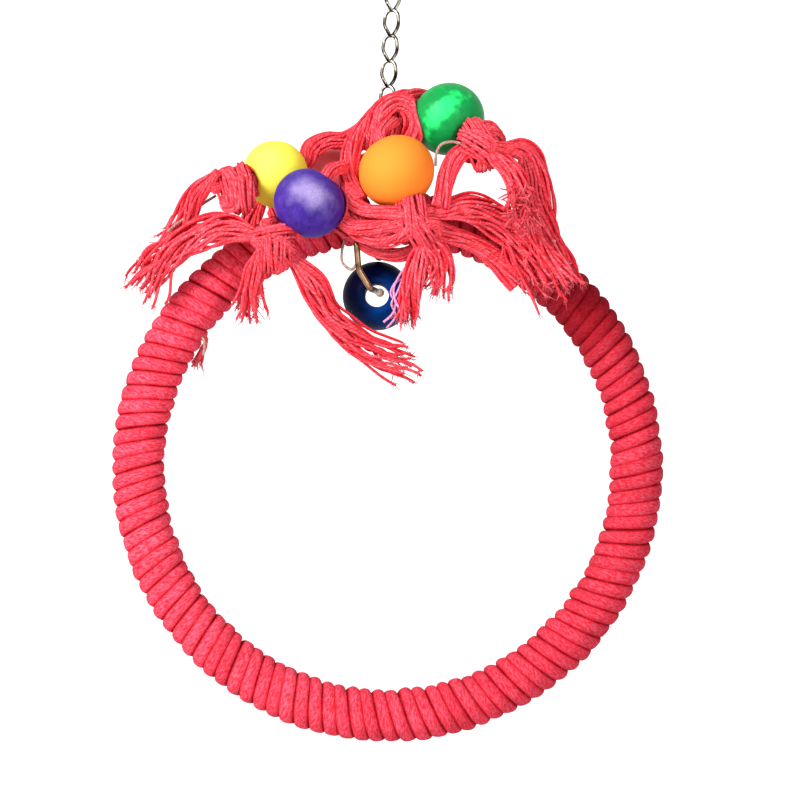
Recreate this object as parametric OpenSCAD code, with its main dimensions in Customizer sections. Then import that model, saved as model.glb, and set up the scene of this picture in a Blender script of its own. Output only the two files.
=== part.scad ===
// Hanging swing for a small cage bird: a hoop wound with cotton rope, hung from a steel chain.
// Three knotted rope ties carry wooden beads, and a wire hook holds one more bead inside the ring.
// Lengths are in millimetres. Z is up, the front faces -Y, and the origin is the inside top of
// the quick link, where the swing is hung.

/* [Ring] */
// Outside diameter of the wound ring
ring_d = 200; // [180:1:230]
// Thickness of the wound ring from front to back
ring_thick = 19.2; // [18.6:0.1:20.4]
// Diameter of the rope wound round the hoop
wrap_d = 4.9; // [4.4:0.1:5]
// Turns of rope round the hoop
wrap_turns = 92; // [60:1:92]
// How far a turn leans along the ring as it crosses the front
wrap_lean = 1.5; // [0:0.1:1.8]

/* [Chain] */
// Wire of a chain link
link_wire = 1.3; // [1.1:0.05:1.4]
// Outside width of a chain link
link_w = 6.4; // [6.2:0.1:6.8]
// Height that each link adds to the chain
link_pitch = 9.2; // [9:0.1:10]

/* [Quick link] */
// Wire of the quick link
quick_wire = 3; // [2.6:0.1:3.4]
// Width inside the quick link
quick_w = 9; // [8:0.5:12]
// Height inside the quick link
quick_h = 28; // [27:0.5:34]
// Length of the screw sleeve
sleeve_l = 9; // [8:0.5:10]
// Width across the flats of the screw sleeve
sleeve_flats = 6; // [5.6:0.1:7]
// Gap in the quick link's side that the sleeve closes
quick_gap = 5; // [4:0.5:6]

/* [Hanger and hook] */
// Wire of the hanger and of the bead hook
hanger_wire = 2.2; // [1.8:0.1:2.3]
// Inside diameter of the hanger's upper eye
upper_eye_d = 5; // [4.8:0.1:6]
// Inside diameter of the hanger's lower eye
lower_eye_d = 3.8; // [3.4:0.1:4.2]
// Inside diameter of the hook's own eye
hook_eye_d = 3.8; // [3.6:0.1:4]
// Drop from the top of the ring to the middle of the hook's bead
hook_drop = 38.4; // [38:0.2:42]

/* [Beads] */
// Diameter of the yellow bead
yellow_d = 24.2; // [22:0.1:24.6]
// Diameter of the purple bead
purple_d = 25.5; // [23:0.1:25.8]
// Diameter of the orange bead
orange_d = 27.2; // [24:0.1:27.4]
// Diameter of the green bead
green_d = 26.5; // [24:0.1:26.8]
// Diameter of the red bead
red_d = 24.5; // [22:0.1:24.8]
// Diameter of the blue bead on the hook
blue_d = 25; // [22:0.1:25.6]
// Diameter of the hole through each bead on a tie
bead_bore = 6.3; // [6.2:0.1:7]
// Diameter of the hole through the blue bead
blue_bore = 8.6; // [8:0.1:9.4]

/* [Rope ties] */
// Diameter of a rope tie
tie_d = 5.6; // [5:0.1:5.7]
// Diameter of the rope where a knot squeezes it
knot_d = 4; // [3.4:0.1:4.1]
// Narrow width of a rope where it is pulled through a chain link
pinch_w = 3; // [2.6:0.1:3.1]
// Height of a rope where it is pulled through a chain link
pinch_h = 4.8; // [4:0.1:4.9]
// Diameter of a tassel at its knot
tassel_d = 6; // [5:0.1:6.4]

/* [Hidden] */

$fn = 48;
// Overrun of a cut past the surface that it cuts
over = 0.5;

// Running clearance where one steel loop rests in another
loop_clear = 0.15;
// Clearance between the hoop and the rope wound on it
wrap_clear = 0.3;
// Clearance of the hanger in the hole through the hoop
shank_clear = 0.3;
// Clearance of the screw sleeve on the quick link's wire
sleeve_clear = 0.15;
// Clear height of the hanger's upper eye above the ring
eye_lift = 1.8;
// Free space left along the ring on each side of the hanger
hanger_room = 7.7;
// The chain hangs this far to the left of the ring's middle
chain_side = 7;
// Every link below the first is turned this far about the vertical
chain_turn = -25;
// Share of a bead's diameter that is left between its flattened ends
bead_length_share = 0.86;
// Chamfer round the mouth of a bead's hole
bore_edge = 0.6;
// Clearance between a squeezed rope's turns in a knot
knot_clear = 0.45;
// Space between a bead and the knot that holds it
knot_seat = 0.4;
// Straight run of a rope past the end of a bead's hole
bead_lead = 2.4;

// Ring, from its thickness inwards
ring_r = ring_d / 2;
tube_r = ring_thick / 2;
mid_r = ring_r - tube_r;
wind_r = tube_r - wrap_d / 2;
wind_steps = 8;
wind_sides = 6;
hoop_d = 2 * (wind_r * cos(180 / wind_steps) - wrap_d / 2 - wrap_clear);

// Chain, from the quick link downwards
link_bend = (link_w - link_wire) / 2;
link_height = link_pitch + link_wire + loop_clear;
link_leg = link_height - 2 * link_bend;
link_twist_steps = 3;
// Slight swelling of the wire where it bends
knuckle_share = 1.03;
free_links = 5;
bound_links = 3;
first_link_z = -quick_h + link_wire / 2 + loop_clear;
function link_top_z(i) = first_link_z - (i - 1) * link_pitch;
chain_end_z = link_top_z(free_links + bound_links) - link_height;

// Hanger, from the last link downwards
upper_eye_r = (upper_eye_d + hanger_wire) / 2;
lower_eye_r = (lower_eye_d + hanger_wire) / 2;
hook_eye_r = (hook_eye_d + hanger_wire) / 2;
upper_eye_z = chain_end_z + link_wire / 2 + hanger_wire / 2 + loop_clear - upper_eye_r;
ring_top_z = upper_eye_z - upper_eye_r - hanger_wire / 2 - eye_lift;
ring_x = chain_side;
ring_z = ring_top_z - ring_r;
hanger_angle = 90 + asin(chain_side / mid_r);
lower_eye_z = ring_top_z - tube_r - hoop_d / 2 - shank_clear - hanger_wire / 2 - lower_eye_r;
hook_pivot_z = lower_eye_z - lower_eye_r + hanger_wire + loop_clear;

// Bead on the hook: the wire bears on the top of its hole
blue_z = ring_top_z - hook_drop;
hook_slack = blue_bore / 2 - hanger_wire / 2 - loop_clear;
// The foot of the hook enters the hole this far to the left of its middle, and leaves it this
// far to the right
foot_in_side = 2.4;
foot_out_side = 0.8;
hook_low_z = blue_z + sqrt(hook_slack * hook_slack - foot_in_side * foot_in_side);
hook_turn = 27;

// Middles of the beads on the ties, from the top of the ring straight under the chain
yellow_at = [-39, -3, 3.6];
purple_at = [-25.5, -22.4, -7.8];
orange_at = [4.8, -19.6, 5.3];
green_at = [22.4, -6, 26.4];
red_at = [-21, 18.4, 4.6];
// Ways that the holes through those beads run
yellow_way = [0.76, 0.58, 0.3];
purple_way = [0.5, 0, 0.87];
orange_way = [0.48, -0.16, -0.86];
green_way = [0.52, -0.64, -0.57];
red_way = [-0.8, 0.45, -0.4];

// Routes of the ties between their beads, from the top of the ring straight under the chain
arch_route = [[-24, 4, 12.5], [-17, 5, 19], [-9, 7, 26], [-2.1, 5, 30.5]];
crown_route = [[2, -5.4, 33], [6.5, -5, 36.2], [11, 0.5, 37.6]];
front_rise_route = [[-15, -16, 10], [-12, -8, 16], [-8, 1, 20], [-2.6, 5, 22]];
front_fall_route = [[1.8, -5, 23.4], [2.6, -10, 24]];
bight_route = [
    [3, -23.6, -18], [-3, -23, -18], [-7.5, -21, -15.5], [-9.6, -17.5, -9.5],
    [-10.4, -13, -3], [-10.4, -7, 3], [-8.4, 1.5, 9], [-2.4, 5.4, 13.2]
];
back_route = [[2.4, -4.8, 14.6], [7.4, -3, 15.4], [9, 4, 14.6], [3, 11, 12.5]];

// Routes of the tassels, from their knots to their frayed ends
right_upper_route = [
    [43.4, -25.3, 15], [49.4, -21.8, 13.5], [54, -18.5, 7], [59, -17, -3], [62.5, -16.5, -14],
    [66, -16.5, -24], [70, -17, -33]
];
right_lower_route = [[39.1, -25.6, 10.7], [43.5, -28, 5], [48.5, -28.5, -2.5], [52, -27.5, -12]];
middle_right_route = [
    [20.7, -23, -8.8], [30, -20.5, -6.5], [39, -17, -9], [48, -15.5, -15], [56, -15, -26],
    [62, -15, -37]
];
middle_low_route = [[15.5, -24.5, -23.1], [17, -23, -31], [14, -21, -40], [11, -19, -48]];
left_long_route = [
    [-46, -21.5, -20.8], [-55, -19, -20], [-66, -17, -23], [-77, -15, -31], [-86, -13, -42]
];
left_low_route = [
    [-29.8, -22, -28.3], [-22, -22, -36.5], [-17, -20, -46], [-9, -17, -54], [2, -14, -60], [15, -12, -64]
];
left_short_route = [[-43.2, -22, -31.5], [-45, -20, -41], [-46, -18, -50]];
outer_left_route = [[-62.1, -16.7, -1.8], [-66.5, -12.5, -6.5], [-70.5, -8.5, -15], [-75, -6.5, -27]];
// Where the winding's frayed end lies: along the inside of the ring, off it, and to the back
tail_around = 148;
tail_places = [[0, 2.2, 2], [5.3, 2.7, 1], [9.9, 3.3, 0]];
inside_r = ring_r - ring_thick;
winding_tail_route = [
    for (p = tail_places)
        let (around = tail_around + p.x / inside_r * 180 / PI, out = inside_r - p.y)
            [ring_x + out * cos(around), p.z, ring_z - ring_top_z + out * sin(around)]
];
back_tassel_route = [[-46.2, 31.5, -4.2], [-49.4, 31, -12], [-50, 27, -23], [-49, 22, -35], [-48, 18, -47]];

tie_sides = 8;
tie_steps = 2;
tassel_lobes = 7;
tassel_depth_share = 0.2;

// One half of a knot's path, in shares of the pitch of its turns. The rope runs in under the
// turns, doubles back, winds round itself and crosses over at the last point.
knot_half_shares = [
    [-2, -0.5, 0], [-1.2, -0.5, 0], [-0.3, -0.5, 0], [0.6, -0.5, 0], [1.25, -0.72, -0.05],
    [1.42, -1.25, -0.3], [0.95, -1.45, -0.75], [0.62, -0.72, -1.08], [0.53, 0.1, -1.1],
    [0.47, 0.85, -1.0], [0.4, 1.4, -0.6], [0.3, 1.52, 0.1], [0.2, 1.25, 0.78],
    [0.1, 0.66, 1.08]
];
knot_middle_shares = [0, 0, 1.12];
knot_pitch = knot_d + knot_clear;
// Half of a knot's length along its rope
knot_half = 1.42 * knot_pitch + knot_d / 2;

// Vector and curve helpers
function unit(v) = v / norm(v);
function last(list) = list[len(list) - 1];
function tangent(path, i) = unit(path[min(i + 1, len(path) - 1)] - path[max(i - 1, 0)]);
function across(t) = unit(cross(t, abs(t.z) < 0.8 ? [0, 0, 1] : [0, 1, 0]));
function square_to(v, t) = unit(v - (v * t) * t);

// Point on a smooth curve between q and r, with the neighbours p and s
function spline(p, q, r, s, t) =
    0.5 * (2 * q + (r - p) * t + (2 * p - 5 * q + 4 * r - s) * t * t
        + (3 * q - p - 3 * r + s) * t * t * t);

// A smooth path through the points of a route, with the given steps in each stretch
function smooth(route, steps) = [
    for (i = [0 : len(route) - 2])
        for (k = [0 : steps - 1])
            spline(route[max(i - 1, 0)], route[i], route[i + 1],
                route[min(i + 2, len(route) - 1)], k / steps),
    last(route)
];

// Sideways directions along a path that don't twist about it
function side_ways(path) = [
    for (i = 0, n = across(tangent(path, 0));
        i < len(path);
        i = i + 1, n = i < len(path) ? square_to(n, tangent(path, i)) : n) n
];

// A solid swept along a path. Each outline is a list of [sideways, upwards] points. A flatten
// value is [way, share], and presses the section along that way to that share of its width.
function pressed(v, flatten) = v - (1 - flatten[1]) * (v * flatten[0]) * flatten[0];
module sweep(path, outlines, flattens) {
    ways = side_ways(path);
    tube([
        for (i = [0 : len(path) - 1])
            let (t = tangent(path, i), n = ways[i], b = cross(t, n))
                [for (p = outlines[i]) path[i] + pressed(p.x * n + p.y * b, flattens[i])]
    ]);
}

// A closed solid through rings of points
module tube(rings) {
    sides = len(rings[0]);
    base = (len(rings) - 1) * sides;
    walls = [
        for (i = [0 : sides : base - 1])
            for (k = [0 : sides - 1])
                let (a = i + k, c = i + (k + 1) % sides)
                    each [[a, a + sides, c], [c, a + sides, c + sides]]
    ];
    start = [for (k = [1 : sides - 2]) [0, k, k + 1]];
    end = [for (k = [1 : sides - 2]) [base, base + k + 1, base + k]];
    polyhedron([for (ring = rings) each ring], concat(walls, start, end));
}
function round_outline(r, sides) = [
    for (k = [0 : sides - 1]) r * [cos(360 * k / sides), sin(360 * k / sides)]
];

// A straight round rod between two points
module rod(from, to, d) {
    v = to - from;
    translate(from)
        rotate([0, acos(v.z / norm(v)), atan2(v.y, v.x)])
            cylinder(d = d, h = norm(v));
}

// A full ring of wire that stands upright and faces the front
module eye(r, wire) {
    rotate([90, 0, 0])
        rotate_extrude()
            translate([r, 0])
                circle(d = wire);
}

// The upper or lower bend of a link, with its ends at the origin's height
module link_end(r, wire) {
    rotate([90, 0, 0])
        rotate_extrude(angle = 180)
            translate([r, 0])
                circle(d = wire);
}

// A ball bead with flattened ends and a chamfered hole along X
module bead(d, bore = bead_bore) {
    half = d * bead_length_share / 2;
    bore_r = bore / 2;
    rotate([0, 90, 0])
        rotate_extrude()
            difference() {
                intersection() {
                    circle(d = d, $fn = 96);
                    translate([bore_r, -half]) square([d, 2 * half]);
                }
                for (end = [-1, 1])
                    polygon([
                        [bore_r - over, end * (half + over)],
                        [bore_r + bore_edge + over, end * (half + over)],
                        [bore_r - over, end * (half - bore_edge - over)]
                    ]);
            }
}
module strung_bead(d, at, way) {
    u = unit(way);
    translate([0, 0, ring_top_z] + at)
        rotate([0, -asin(u.z), atan2(u.y, u.x)])
            bead(d);
}

// Chain link whose upper bend faces the front and whose lower bend is turned a quarter
module chain_link(i) {
    color("silver")
        translate([0, 0, link_top_z(i) - link_bend]) rotate([0, 0, i > 1 ? chain_turn : 0]) {
            link_end(link_bend, link_wire);
            for (side = [-1, 1])
                for (k = [0 : link_twist_steps - 1])
                    rod(leg_point(side, k), leg_point(side, k + 1), link_wire);
            for (side = [-1, 1])
                for (k = [0 : link_twist_steps])
                    translate(leg_point(side, k)) sphere(d = link_wire * knuckle_share);
            translate([0, 0, -link_leg])
                rotate([180, 0, 90])
                    link_end(link_bend, link_wire);
        }
}
function leg_point(side, k) =
    let (turn = 90 * k / link_twist_steps)
        [side * link_bend * cos(turn), side * link_bend * sin(turn), -link_leg * k / link_twist_steps];

// Quick link: an oval of wire, open at one side, that stands across the chain's first link
quick_bend = (quick_w + quick_wire) / 2;
quick_leg = quick_h - quick_w;
quick_top_z = -quick_w / 2;
gap_top_z = quick_top_z - quick_wire;
sleeve_z = gap_top_z - quick_gap / 2;
module quick_link() {
    color("silver")
        rotate([0, 0, 90])
            difference() {
                union() {
                    translate([0, 0, quick_top_z]) link_end(quick_bend, quick_wire);
                    translate([0, 0, quick_top_z - quick_leg])
                        rotate([180, 0, 0]) link_end(quick_bend, quick_wire);
                    for (side = [-1, 1])
                        translate([side * quick_bend, 0, quick_top_z - quick_leg])
                            cylinder(d = quick_wire, h = quick_leg);
                }
                translate([quick_bend - quick_wire, -quick_wire, gap_top_z - quick_gap])
                    cube([2 * quick_wire, 2 * quick_wire, quick_gap]);
            }
}
module quick_sleeve() {
    color("gainsboro")
        translate([0, quick_bend, sleeve_z - sleeve_l / 2])
            difference() {
                intersection() {
                    cylinder(d = sleeve_flats / cos(30), h = sleeve_l, $fn = 6);
                    translate([0, 0, sleeve_l / 2])
                        sphere(d = norm([sleeve_l, sleeve_flats]) - over);
                }
                translate([0, 0, -over])
                    cylinder(d = quick_wire + 2 * sleeve_clear, h = sleeve_l + 2 * over);
            }
}

// Hanger: a wire with an eye above the ring and one below, through a hole in the hoop
module hanger() {
    color("silver") {
        translate([0, 0, upper_eye_z]) rotate([0, 0, chain_turn]) eye(upper_eye_r, hanger_wire);
        translate([0, 0, lower_eye_z + lower_eye_r])
            cylinder(d = hanger_wire, h = upper_eye_z - upper_eye_r - lower_eye_z - lower_eye_r);
        translate([0, 0, lower_eye_z]) rotate([0, 0, -hook_turn]) eye(lower_eye_r, hanger_wire);
    }
}

// Hoop inside the winding, drilled through for the hanger
module hoop() {
    color("burlywood")
        difference() {
            translate([ring_x, 0, ring_z])
                rotate([90, 0, 0])
                    rotate_extrude($fn = 96)
                        translate([mid_r, 0])
                            circle(d = hoop_d);
            translate([0, 0, ring_top_z - ring_thick])
                cylinder(d = hanger_wire + 2 * shank_clear, h = ring_thick + over);
        }
}

// Winding: one rope that runs round the hoop from one side of the hanger to the other.
// A turn starts inside the ring, crosses the front, then the outside, then the back.
// Both ends run straight for one rope diameter, to the back and to the front.
wind_start = hanger_angle + (hanger_room + wrap_lean) / mid_r * 180 / PI;
wind_span = 360 - 2 * hanger_room / mid_r * 180 / PI;
wind_count = wrap_turns * wind_steps;
function wind_point(k) =
    let (turn = 360 * k / wind_steps,
        lean = -wrap_lean * cos(turn) / mid_r * 180 / PI,
        around = wind_start + wind_span * k / wind_count + lean,
        out = mid_r - wind_r * cos(turn))
            [out * cos(around), -wind_r * sin(turn), out * sin(around)];
function wind_way(k) = unit(wind_point(k + 1) - wind_point(k - 1));
winding_path = concat(
    [wind_point(0) - wrap_d * wind_way(0)],
    [for (k = [0 : wind_count]) wind_point(k)],
    [wind_point(wind_count) + wrap_d * wind_way(wind_count)]
);
function wind_turn_gap(i) =
    min([
        for (j = [-1 : 1])
            let (next = min(i + wind_steps + j, len(winding_path) - 1))
                norm(winding_path[i] - winding_path[next])
    ]) - wrap_d;
winding_gap = min([for (i = [0 : wind_count - wind_steps + 2]) wind_turn_gap(i)]);
echo(winding_least_gap = winding_gap);
module winding() {
    outline = round_outline(wrap_d / 2, wind_sides);
    color("crimson")
        translate([ring_x, 0, ring_z])
            tube([
                for (i = [0 : len(winding_path) - 1])
                    let (centre = winding_path[i],
                        t = tangent(winding_path, i),
                        from_hoop = centre - mid_r * unit([centre.x, 0, centre.z]),
                        n = square_to(from_hoop, t),
                        b = cross(t, n))
                            [for (p = outline) centre + p.x * n + p.y * b]
            ]);
}

// Knot: a rope doubled back and wound round itself. It runs along way, is widest along wide,
// and lies round a middle point.
knot_shares = concat(
    knot_half_shares,
    [knot_middle_shares],
    [for (i = [len(knot_half_shares) - 1 : -1 : 0])
        let (p = knot_half_shares[i]) [-p.x, -p.y, p.z]]
);
function knot_path(middle, way, wide) =
    let (x = unit(way), y = square_to(wide, x), z = cross(x, y))
        [for (p = knot_shares) middle + knot_pitch * (p.x * x + p.y * y + p.z * z)];
function knot_reach(d) = d * bead_length_share / 2 + knot_seat + knot_half;

// Straight stretch of a tie through a bead. It runs on past the ends that are asked for, so
// that the curve of the tie starts clear of the hole.
function through(d, at, way, before, after) =
    let (half = d * bead_length_share / 2, u = unit(way))
        concat(
            before ? [at - (half + bead_lead) * u] : [],
            [at - half * u, at + half * u],
            after ? [at + (half + bead_lead) * u] : []
        );

// A knot in line with the hole of the bead that it holds. Ahead is 1 where the knot comes after
// the bead along the tie and -1 where it comes before it.
function bead_knot(d, at, way, wide, ahead) =
    let (x = unit(way), y = square_to(wide, x))
        knot_path(at + ahead * (knot_reach(d) * x + knot_pitch / 2 * y), x, y);
knot_left_path = bead_knot(yellow_d, yellow_at, yellow_way, [0.4, 0, -0.92], -1);
knot_right_path = bead_knot(green_d, green_at, green_way, [0.57, 0, 0.82], 1);
knot_low_left_path = bead_knot(purple_d, purple_at, purple_way, [0.87, 0, -0.5], -1);
knot_front_path = bead_knot(orange_d, orange_at, orange_way, [-0.86, 0, -0.48], 1);
knot_back_path = bead_knot(red_d, red_at, red_way, [-0.4, 0, 0.8], 1);

// A tie is drawn in to the knot's diameter in its knots, and pressed flat in its chain link,
// where it fills the height that the loops above and below leave free
pinch_way = [cos(45 + chain_turn), sin(45 + chain_turn), 0];
function loop_top_z(i) =
    i > free_links + bound_links
        ? upper_eye_z + upper_eye_r + hanger_wire / 2
        : link_top_z(i) + link_wire / 2;
function link_place(i) =
    [0, 0, (link_top_z(i) - loop_clear - 1.5 * link_wire + loop_top_z(i + 1)) / 2 - ring_top_z];
module tie(first_knot, route, second_knot, link) {
    middle = smooth(route, tie_steps);
    path = concat(first_knot, middle, second_knot);
    in_first = len(first_knot);
    in_second = in_first + len(middle);
    squeeze = [for (p = path) min(1, 1.6 * max(0, 1 - norm(p - link_place(link)) / (2 * tie_d)))];
    outlines = [
        for (i = [0 : len(path) - 1])
            let (d = i < in_first || i >= in_second ? knot_d : tie_d + (pinch_h - tie_d) * squeeze[i])
                round_outline(d / 2, tie_sides)
    ];
    flattens = [for (q = squeeze) [pinch_way, 1 - (1 - pinch_w / pinch_h) * q]];
    color("crimson")
        translate([0, 0, ring_top_z])
            sweep(path, outlines, flattens);
}
module tie_yellow_green() {
    route = concat(through(yellow_d, yellow_at, yellow_way, false, true), arch_route,
        [link_place(6)], crown_route, through(green_d, green_at, green_way, true, false));
    tie(knot_left_path, route, knot_right_path, 6);
}
module tie_purple_orange() {
    route = concat(through(purple_d, purple_at, purple_way, false, true), front_rise_route,
        [link_place(7)], front_fall_route, through(orange_d, orange_at, orange_way, true, false));
    tie(knot_low_left_path, route, knot_front_path, 7);
}
module tie_red() {
    route = concat(bight_route, [link_place(8)], back_route,
        through(red_d, red_at, red_way, true, false));
    tie([], route, knot_back_path, 8);
}

// Tassel: the frayed end of a tie, a fluted bundle that spreads and thins towards its tip
function fluted_outline(r) = [
    for (k = [0 : 2 * tassel_lobes - 1])
        let (turn = 180 * k / tassel_lobes)
            r * (1 - (k % 2) * tassel_depth_share) * [cos(turn), sin(turn)]
];
module tassel(route, spread, d = tassel_d) {
    path = smooth(route, 2);
    n = len(path) - 1;
    outlines = [
        for (i = [0 : n])
            let (s = i / n)
                fluted_outline(d / 2 * (1 + (spread - 1) * sin(150 * s)))
    ];
    color("crimson")
        translate([0, 0, ring_top_z])
            sweep(path, outlines, [for (i = [0 : n]) [[0, 0, 1], 1]]);
}
module tassel_right_upper() { tassel(right_upper_route, 1.6); }
module tassel_right_lower() { tassel(right_lower_route, 1.4); }
module tassel_middle_right() { tassel(middle_right_route, 1.8); }
module tassel_middle_low() { tassel(middle_low_route, 1.4); }
module tassel_left_long() { tassel(left_long_route, 1.8); }
module tassel_left_low() { tassel(left_low_route, 1.5); }
module tassel_left_short() { tassel(left_short_route, 1.4); }
module tassel_outer_left() { tassel(outer_left_route, 1.6); }
module tassel_back() { tassel(back_tassel_route, 1.5); }
// The frayed end of the rope that the hoop is wound with
module winding_tail() { tassel(winding_tail_route, 1, wrap_d); }

module bead_yellow() { color("yellow") strung_bead(yellow_d, yellow_at, yellow_way); }
module bead_purple() { color("mediumpurple") strung_bead(purple_d, purple_at, purple_way); }
module bead_orange() { color("orange") strung_bead(orange_d, orange_at, orange_way); }
module bead_green() { color("green") strung_bead(green_d, green_at, green_way); }
module bead_red() { color("salmon") strung_bead(red_d, red_at, red_way); }

// Hook: its eye hangs in the hanger's lower eye, its arm runs forward, its leg comes down in
// front of the bead, and its foot runs back through the bead's hole to a ball behind it
hook_reach = blue_d / 2 + hanger_wire;
hook_bend = 3;
hook_front = hook_reach + 0.6 * hook_bend;
// The eye's wire goes round this far before it meets the arm again
hook_eye_turn = 320;
// The leg comes down this far, and this far to the right, before it slants in to the bead
hook_knee_drop = 11.5;
hook_knee_side = 1.5;
hook_knee_bend = 8;
// Ball on the hook's end that keeps the bead on
hook_tip_share = 1.5;
module bead_hook() {
    top = [0, 0, hook_pivot_z];
    elbow = top + [-hook_front * tan(hook_turn), -hook_front, 0];
    knee = elbow + [hook_knee_side, 0, -hook_knee_drop];
    toe = [-foot_in_side, -hook_front, hook_low_z];
    tip = [foot_out_side, hook_reach, hook_low_z];
    color("silver") {
        translate(top - [0, 0, hook_eye_r])
            rotate([90, -90, -90 - hook_turn])
                rotate_extrude(angle = hook_eye_turn)
                    translate([hook_eye_r, 0])
                        circle(d = hanger_wire);
        knuckle(top, unit(elbow - top), hanger_wire);
        bent_wire([top, elbow, knee, toe, tip], hanger_wire, [hook_bend, hook_knee_bend, hook_bend]);
        translate(tip) sphere(d = hanger_wire * hook_tip_share);
    }
}

// The swelling of a wire where a bend starts or ends
module knuckle(at, way, wire) {
    translate(at)
        rotate([0, 0, atan2(way.y, way.x) + 90])
            sphere(d = wire * knuckle_share);
}

// A wire along a route, bent to a radius of its own at each inner point
module bent_wire(route, wire, bends) {
    ends = len(route) - 1;
    ways = [for (i = [0 : ends - 1]) unit(route[i + 1] - route[i])];
    turns = [for (i = [1 : ends - 1]) acos(ways[i - 1] * ways[i])];
    takes = concat(0, [for (i = [0 : len(turns) - 1]) bends[i] * tan(turns[i] / 2)], 0);
    for (i = [0 : ends - 1])
        rod(route[i] + takes[i] * ways[i], route[i + 1] - takes[i + 1] * ways[i], wire);
    for (i = [1 : ends - 1]) {
        x = -cross(unit(cross(ways[i - 1], ways[i])), ways[i - 1]);
        y = ways[i - 1];
        z = cross(x, y);
        start = route[i] - takes[i] * y;
        at = start - bends[i - 1] * x;
        knuckle(start, y, wire);
        knuckle(route[i] + takes[i] * ways[i], ways[i], wire);
        multmatrix([
            [x.x, y.x, z.x, at.x],
            [x.y, y.y, z.y, at.y],
            [x.z, y.z, z.z, at.z]
        ])
            rotate_extrude(angle = turns[i - 1])
                translate([bends[i - 1], 0])
                    circle(d = wire);
    }
}
module bead_blue() {
    color("mediumblue")
        translate([0, 0, blue_z])
            rotate([0, 0, 90])
                bead(blue_d, blue_bore);
}

quick_link();
quick_sleeve();
chain_link(1);  // chain_link_1
chain_link(2);  // chain_link_2
chain_link(3);  // chain_link_3
chain_link(4);  // chain_link_4
chain_link(5);  // chain_link_5
chain_link(6);  // bound_link_1
chain_link(7);  // bound_link_2
chain_link(8);  // bound_link_3
hanger();
hoop();
winding();
winding_tail();
tie_yellow_green();
tie_purple_orange();
tie_red();
bead_yellow();
bead_purple();
bead_orange();
bead_green();
bead_red();
tassel_right_upper();
tassel_right_lower();
tassel_middle_right();
tassel_middle_low();
tassel_left_long();
tassel_left_low();
tassel_left_short();
tassel_outer_left();
tassel_back();
bead_hook();
bead_blue();
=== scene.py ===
"""Looks of a hanging bird swing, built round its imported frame.

A hoop wound with red cotton rope hangs from a steel chain. Bundles of cotton yarn are pulled
through the last links, knotted behind wooden beads and frayed into tassels. The frame gives every
place in metres. Routes are written in millimetres from the ring's top, straight under the chain.
"""
import logging
import math
from dataclasses import dataclass, field
from enum import Enum
from typing import Sequence

import bpy
import numpy as np
from mathutils import Matrix


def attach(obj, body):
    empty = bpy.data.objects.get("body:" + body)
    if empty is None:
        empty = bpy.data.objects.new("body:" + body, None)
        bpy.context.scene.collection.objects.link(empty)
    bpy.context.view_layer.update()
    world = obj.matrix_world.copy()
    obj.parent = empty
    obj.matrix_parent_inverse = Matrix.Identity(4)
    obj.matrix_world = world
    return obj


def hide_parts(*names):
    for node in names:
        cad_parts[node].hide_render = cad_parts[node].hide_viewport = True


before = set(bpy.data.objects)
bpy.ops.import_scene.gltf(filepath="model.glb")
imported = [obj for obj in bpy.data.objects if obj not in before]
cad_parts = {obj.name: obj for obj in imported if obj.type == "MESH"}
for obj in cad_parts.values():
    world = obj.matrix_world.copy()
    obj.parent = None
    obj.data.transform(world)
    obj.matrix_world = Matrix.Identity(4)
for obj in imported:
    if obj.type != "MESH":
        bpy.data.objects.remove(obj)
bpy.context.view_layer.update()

LOG = logging.getLogger("bird_swing")
MM = 0.001

# Where the ring's top and middle lie, and its sizes, as the part's source has them
RING_TOP_Z = -110.45
RING_MIDDLE = (7.0, 0.0, -210.45)
RING_R = 100.0
TUBE_R = 9.6
# The angle round the ring at which the winding starts, just past the hanger
WINDING_START = math.radians(94.4)

# The chain: the free links, then those that the ties are pulled through
FREE_LINKS = 5
BOUND_LINKS = 3
LINK_PITCH = 9.2
LINK_WIRE = 1.3
FIRST_LINK_Z = -27.2
LINK_TURN = math.radians(-25)

# The UV map of every round piece: length in millimetres, and turn from 0 to 1
RUN_MAP = "run_and_turn"
GOLDEN_ANGLE = 2.39996

# A fine fibre's curl and sag, as shares of its length, and its sides
HAIR_CURL = 0.45
HAIR_SAG = 0.25
HAIR_SIDES = 3

Points = Sequence[Sequence[float]]


class Facing(Enum):
    """The way that the flat side of a bundle of yarns faces."""

    FRONT = (0.0, -0.86, 0.5)
    BACK = (0.0, 1.0, 0.5)
    SQUEEZED = (-0.94, -0.34, 0.0)


def unit(v: np.ndarray) -> np.ndarray:
    """Vectors scaled to length one along the last axis."""
    return v / np.maximum(np.linalg.norm(v, axis=-1, keepdims=True), 1e-12)


def srgb(red: int, green: int, blue: int) -> tuple[float, float, float, float]:
    """A display colour as the linear colour that a shader takes.

    Args:
        red: red share, 0 to 255.
        green: green share, 0 to 255.
        blue: blue share, 0 to 255.

    Returns:
        Linear red, green, blue and alpha.
    """
    def linear(c: int) -> float:
        """One share by the display curve: a straight foot, then a power of 2.4."""
        share = c / 255
        return share / 12.92 if share <= 0.04045 else ((share + 0.055) / 1.055) ** 2.4

    return (linear(red), linear(green), linear(blue), 1.0)


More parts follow.
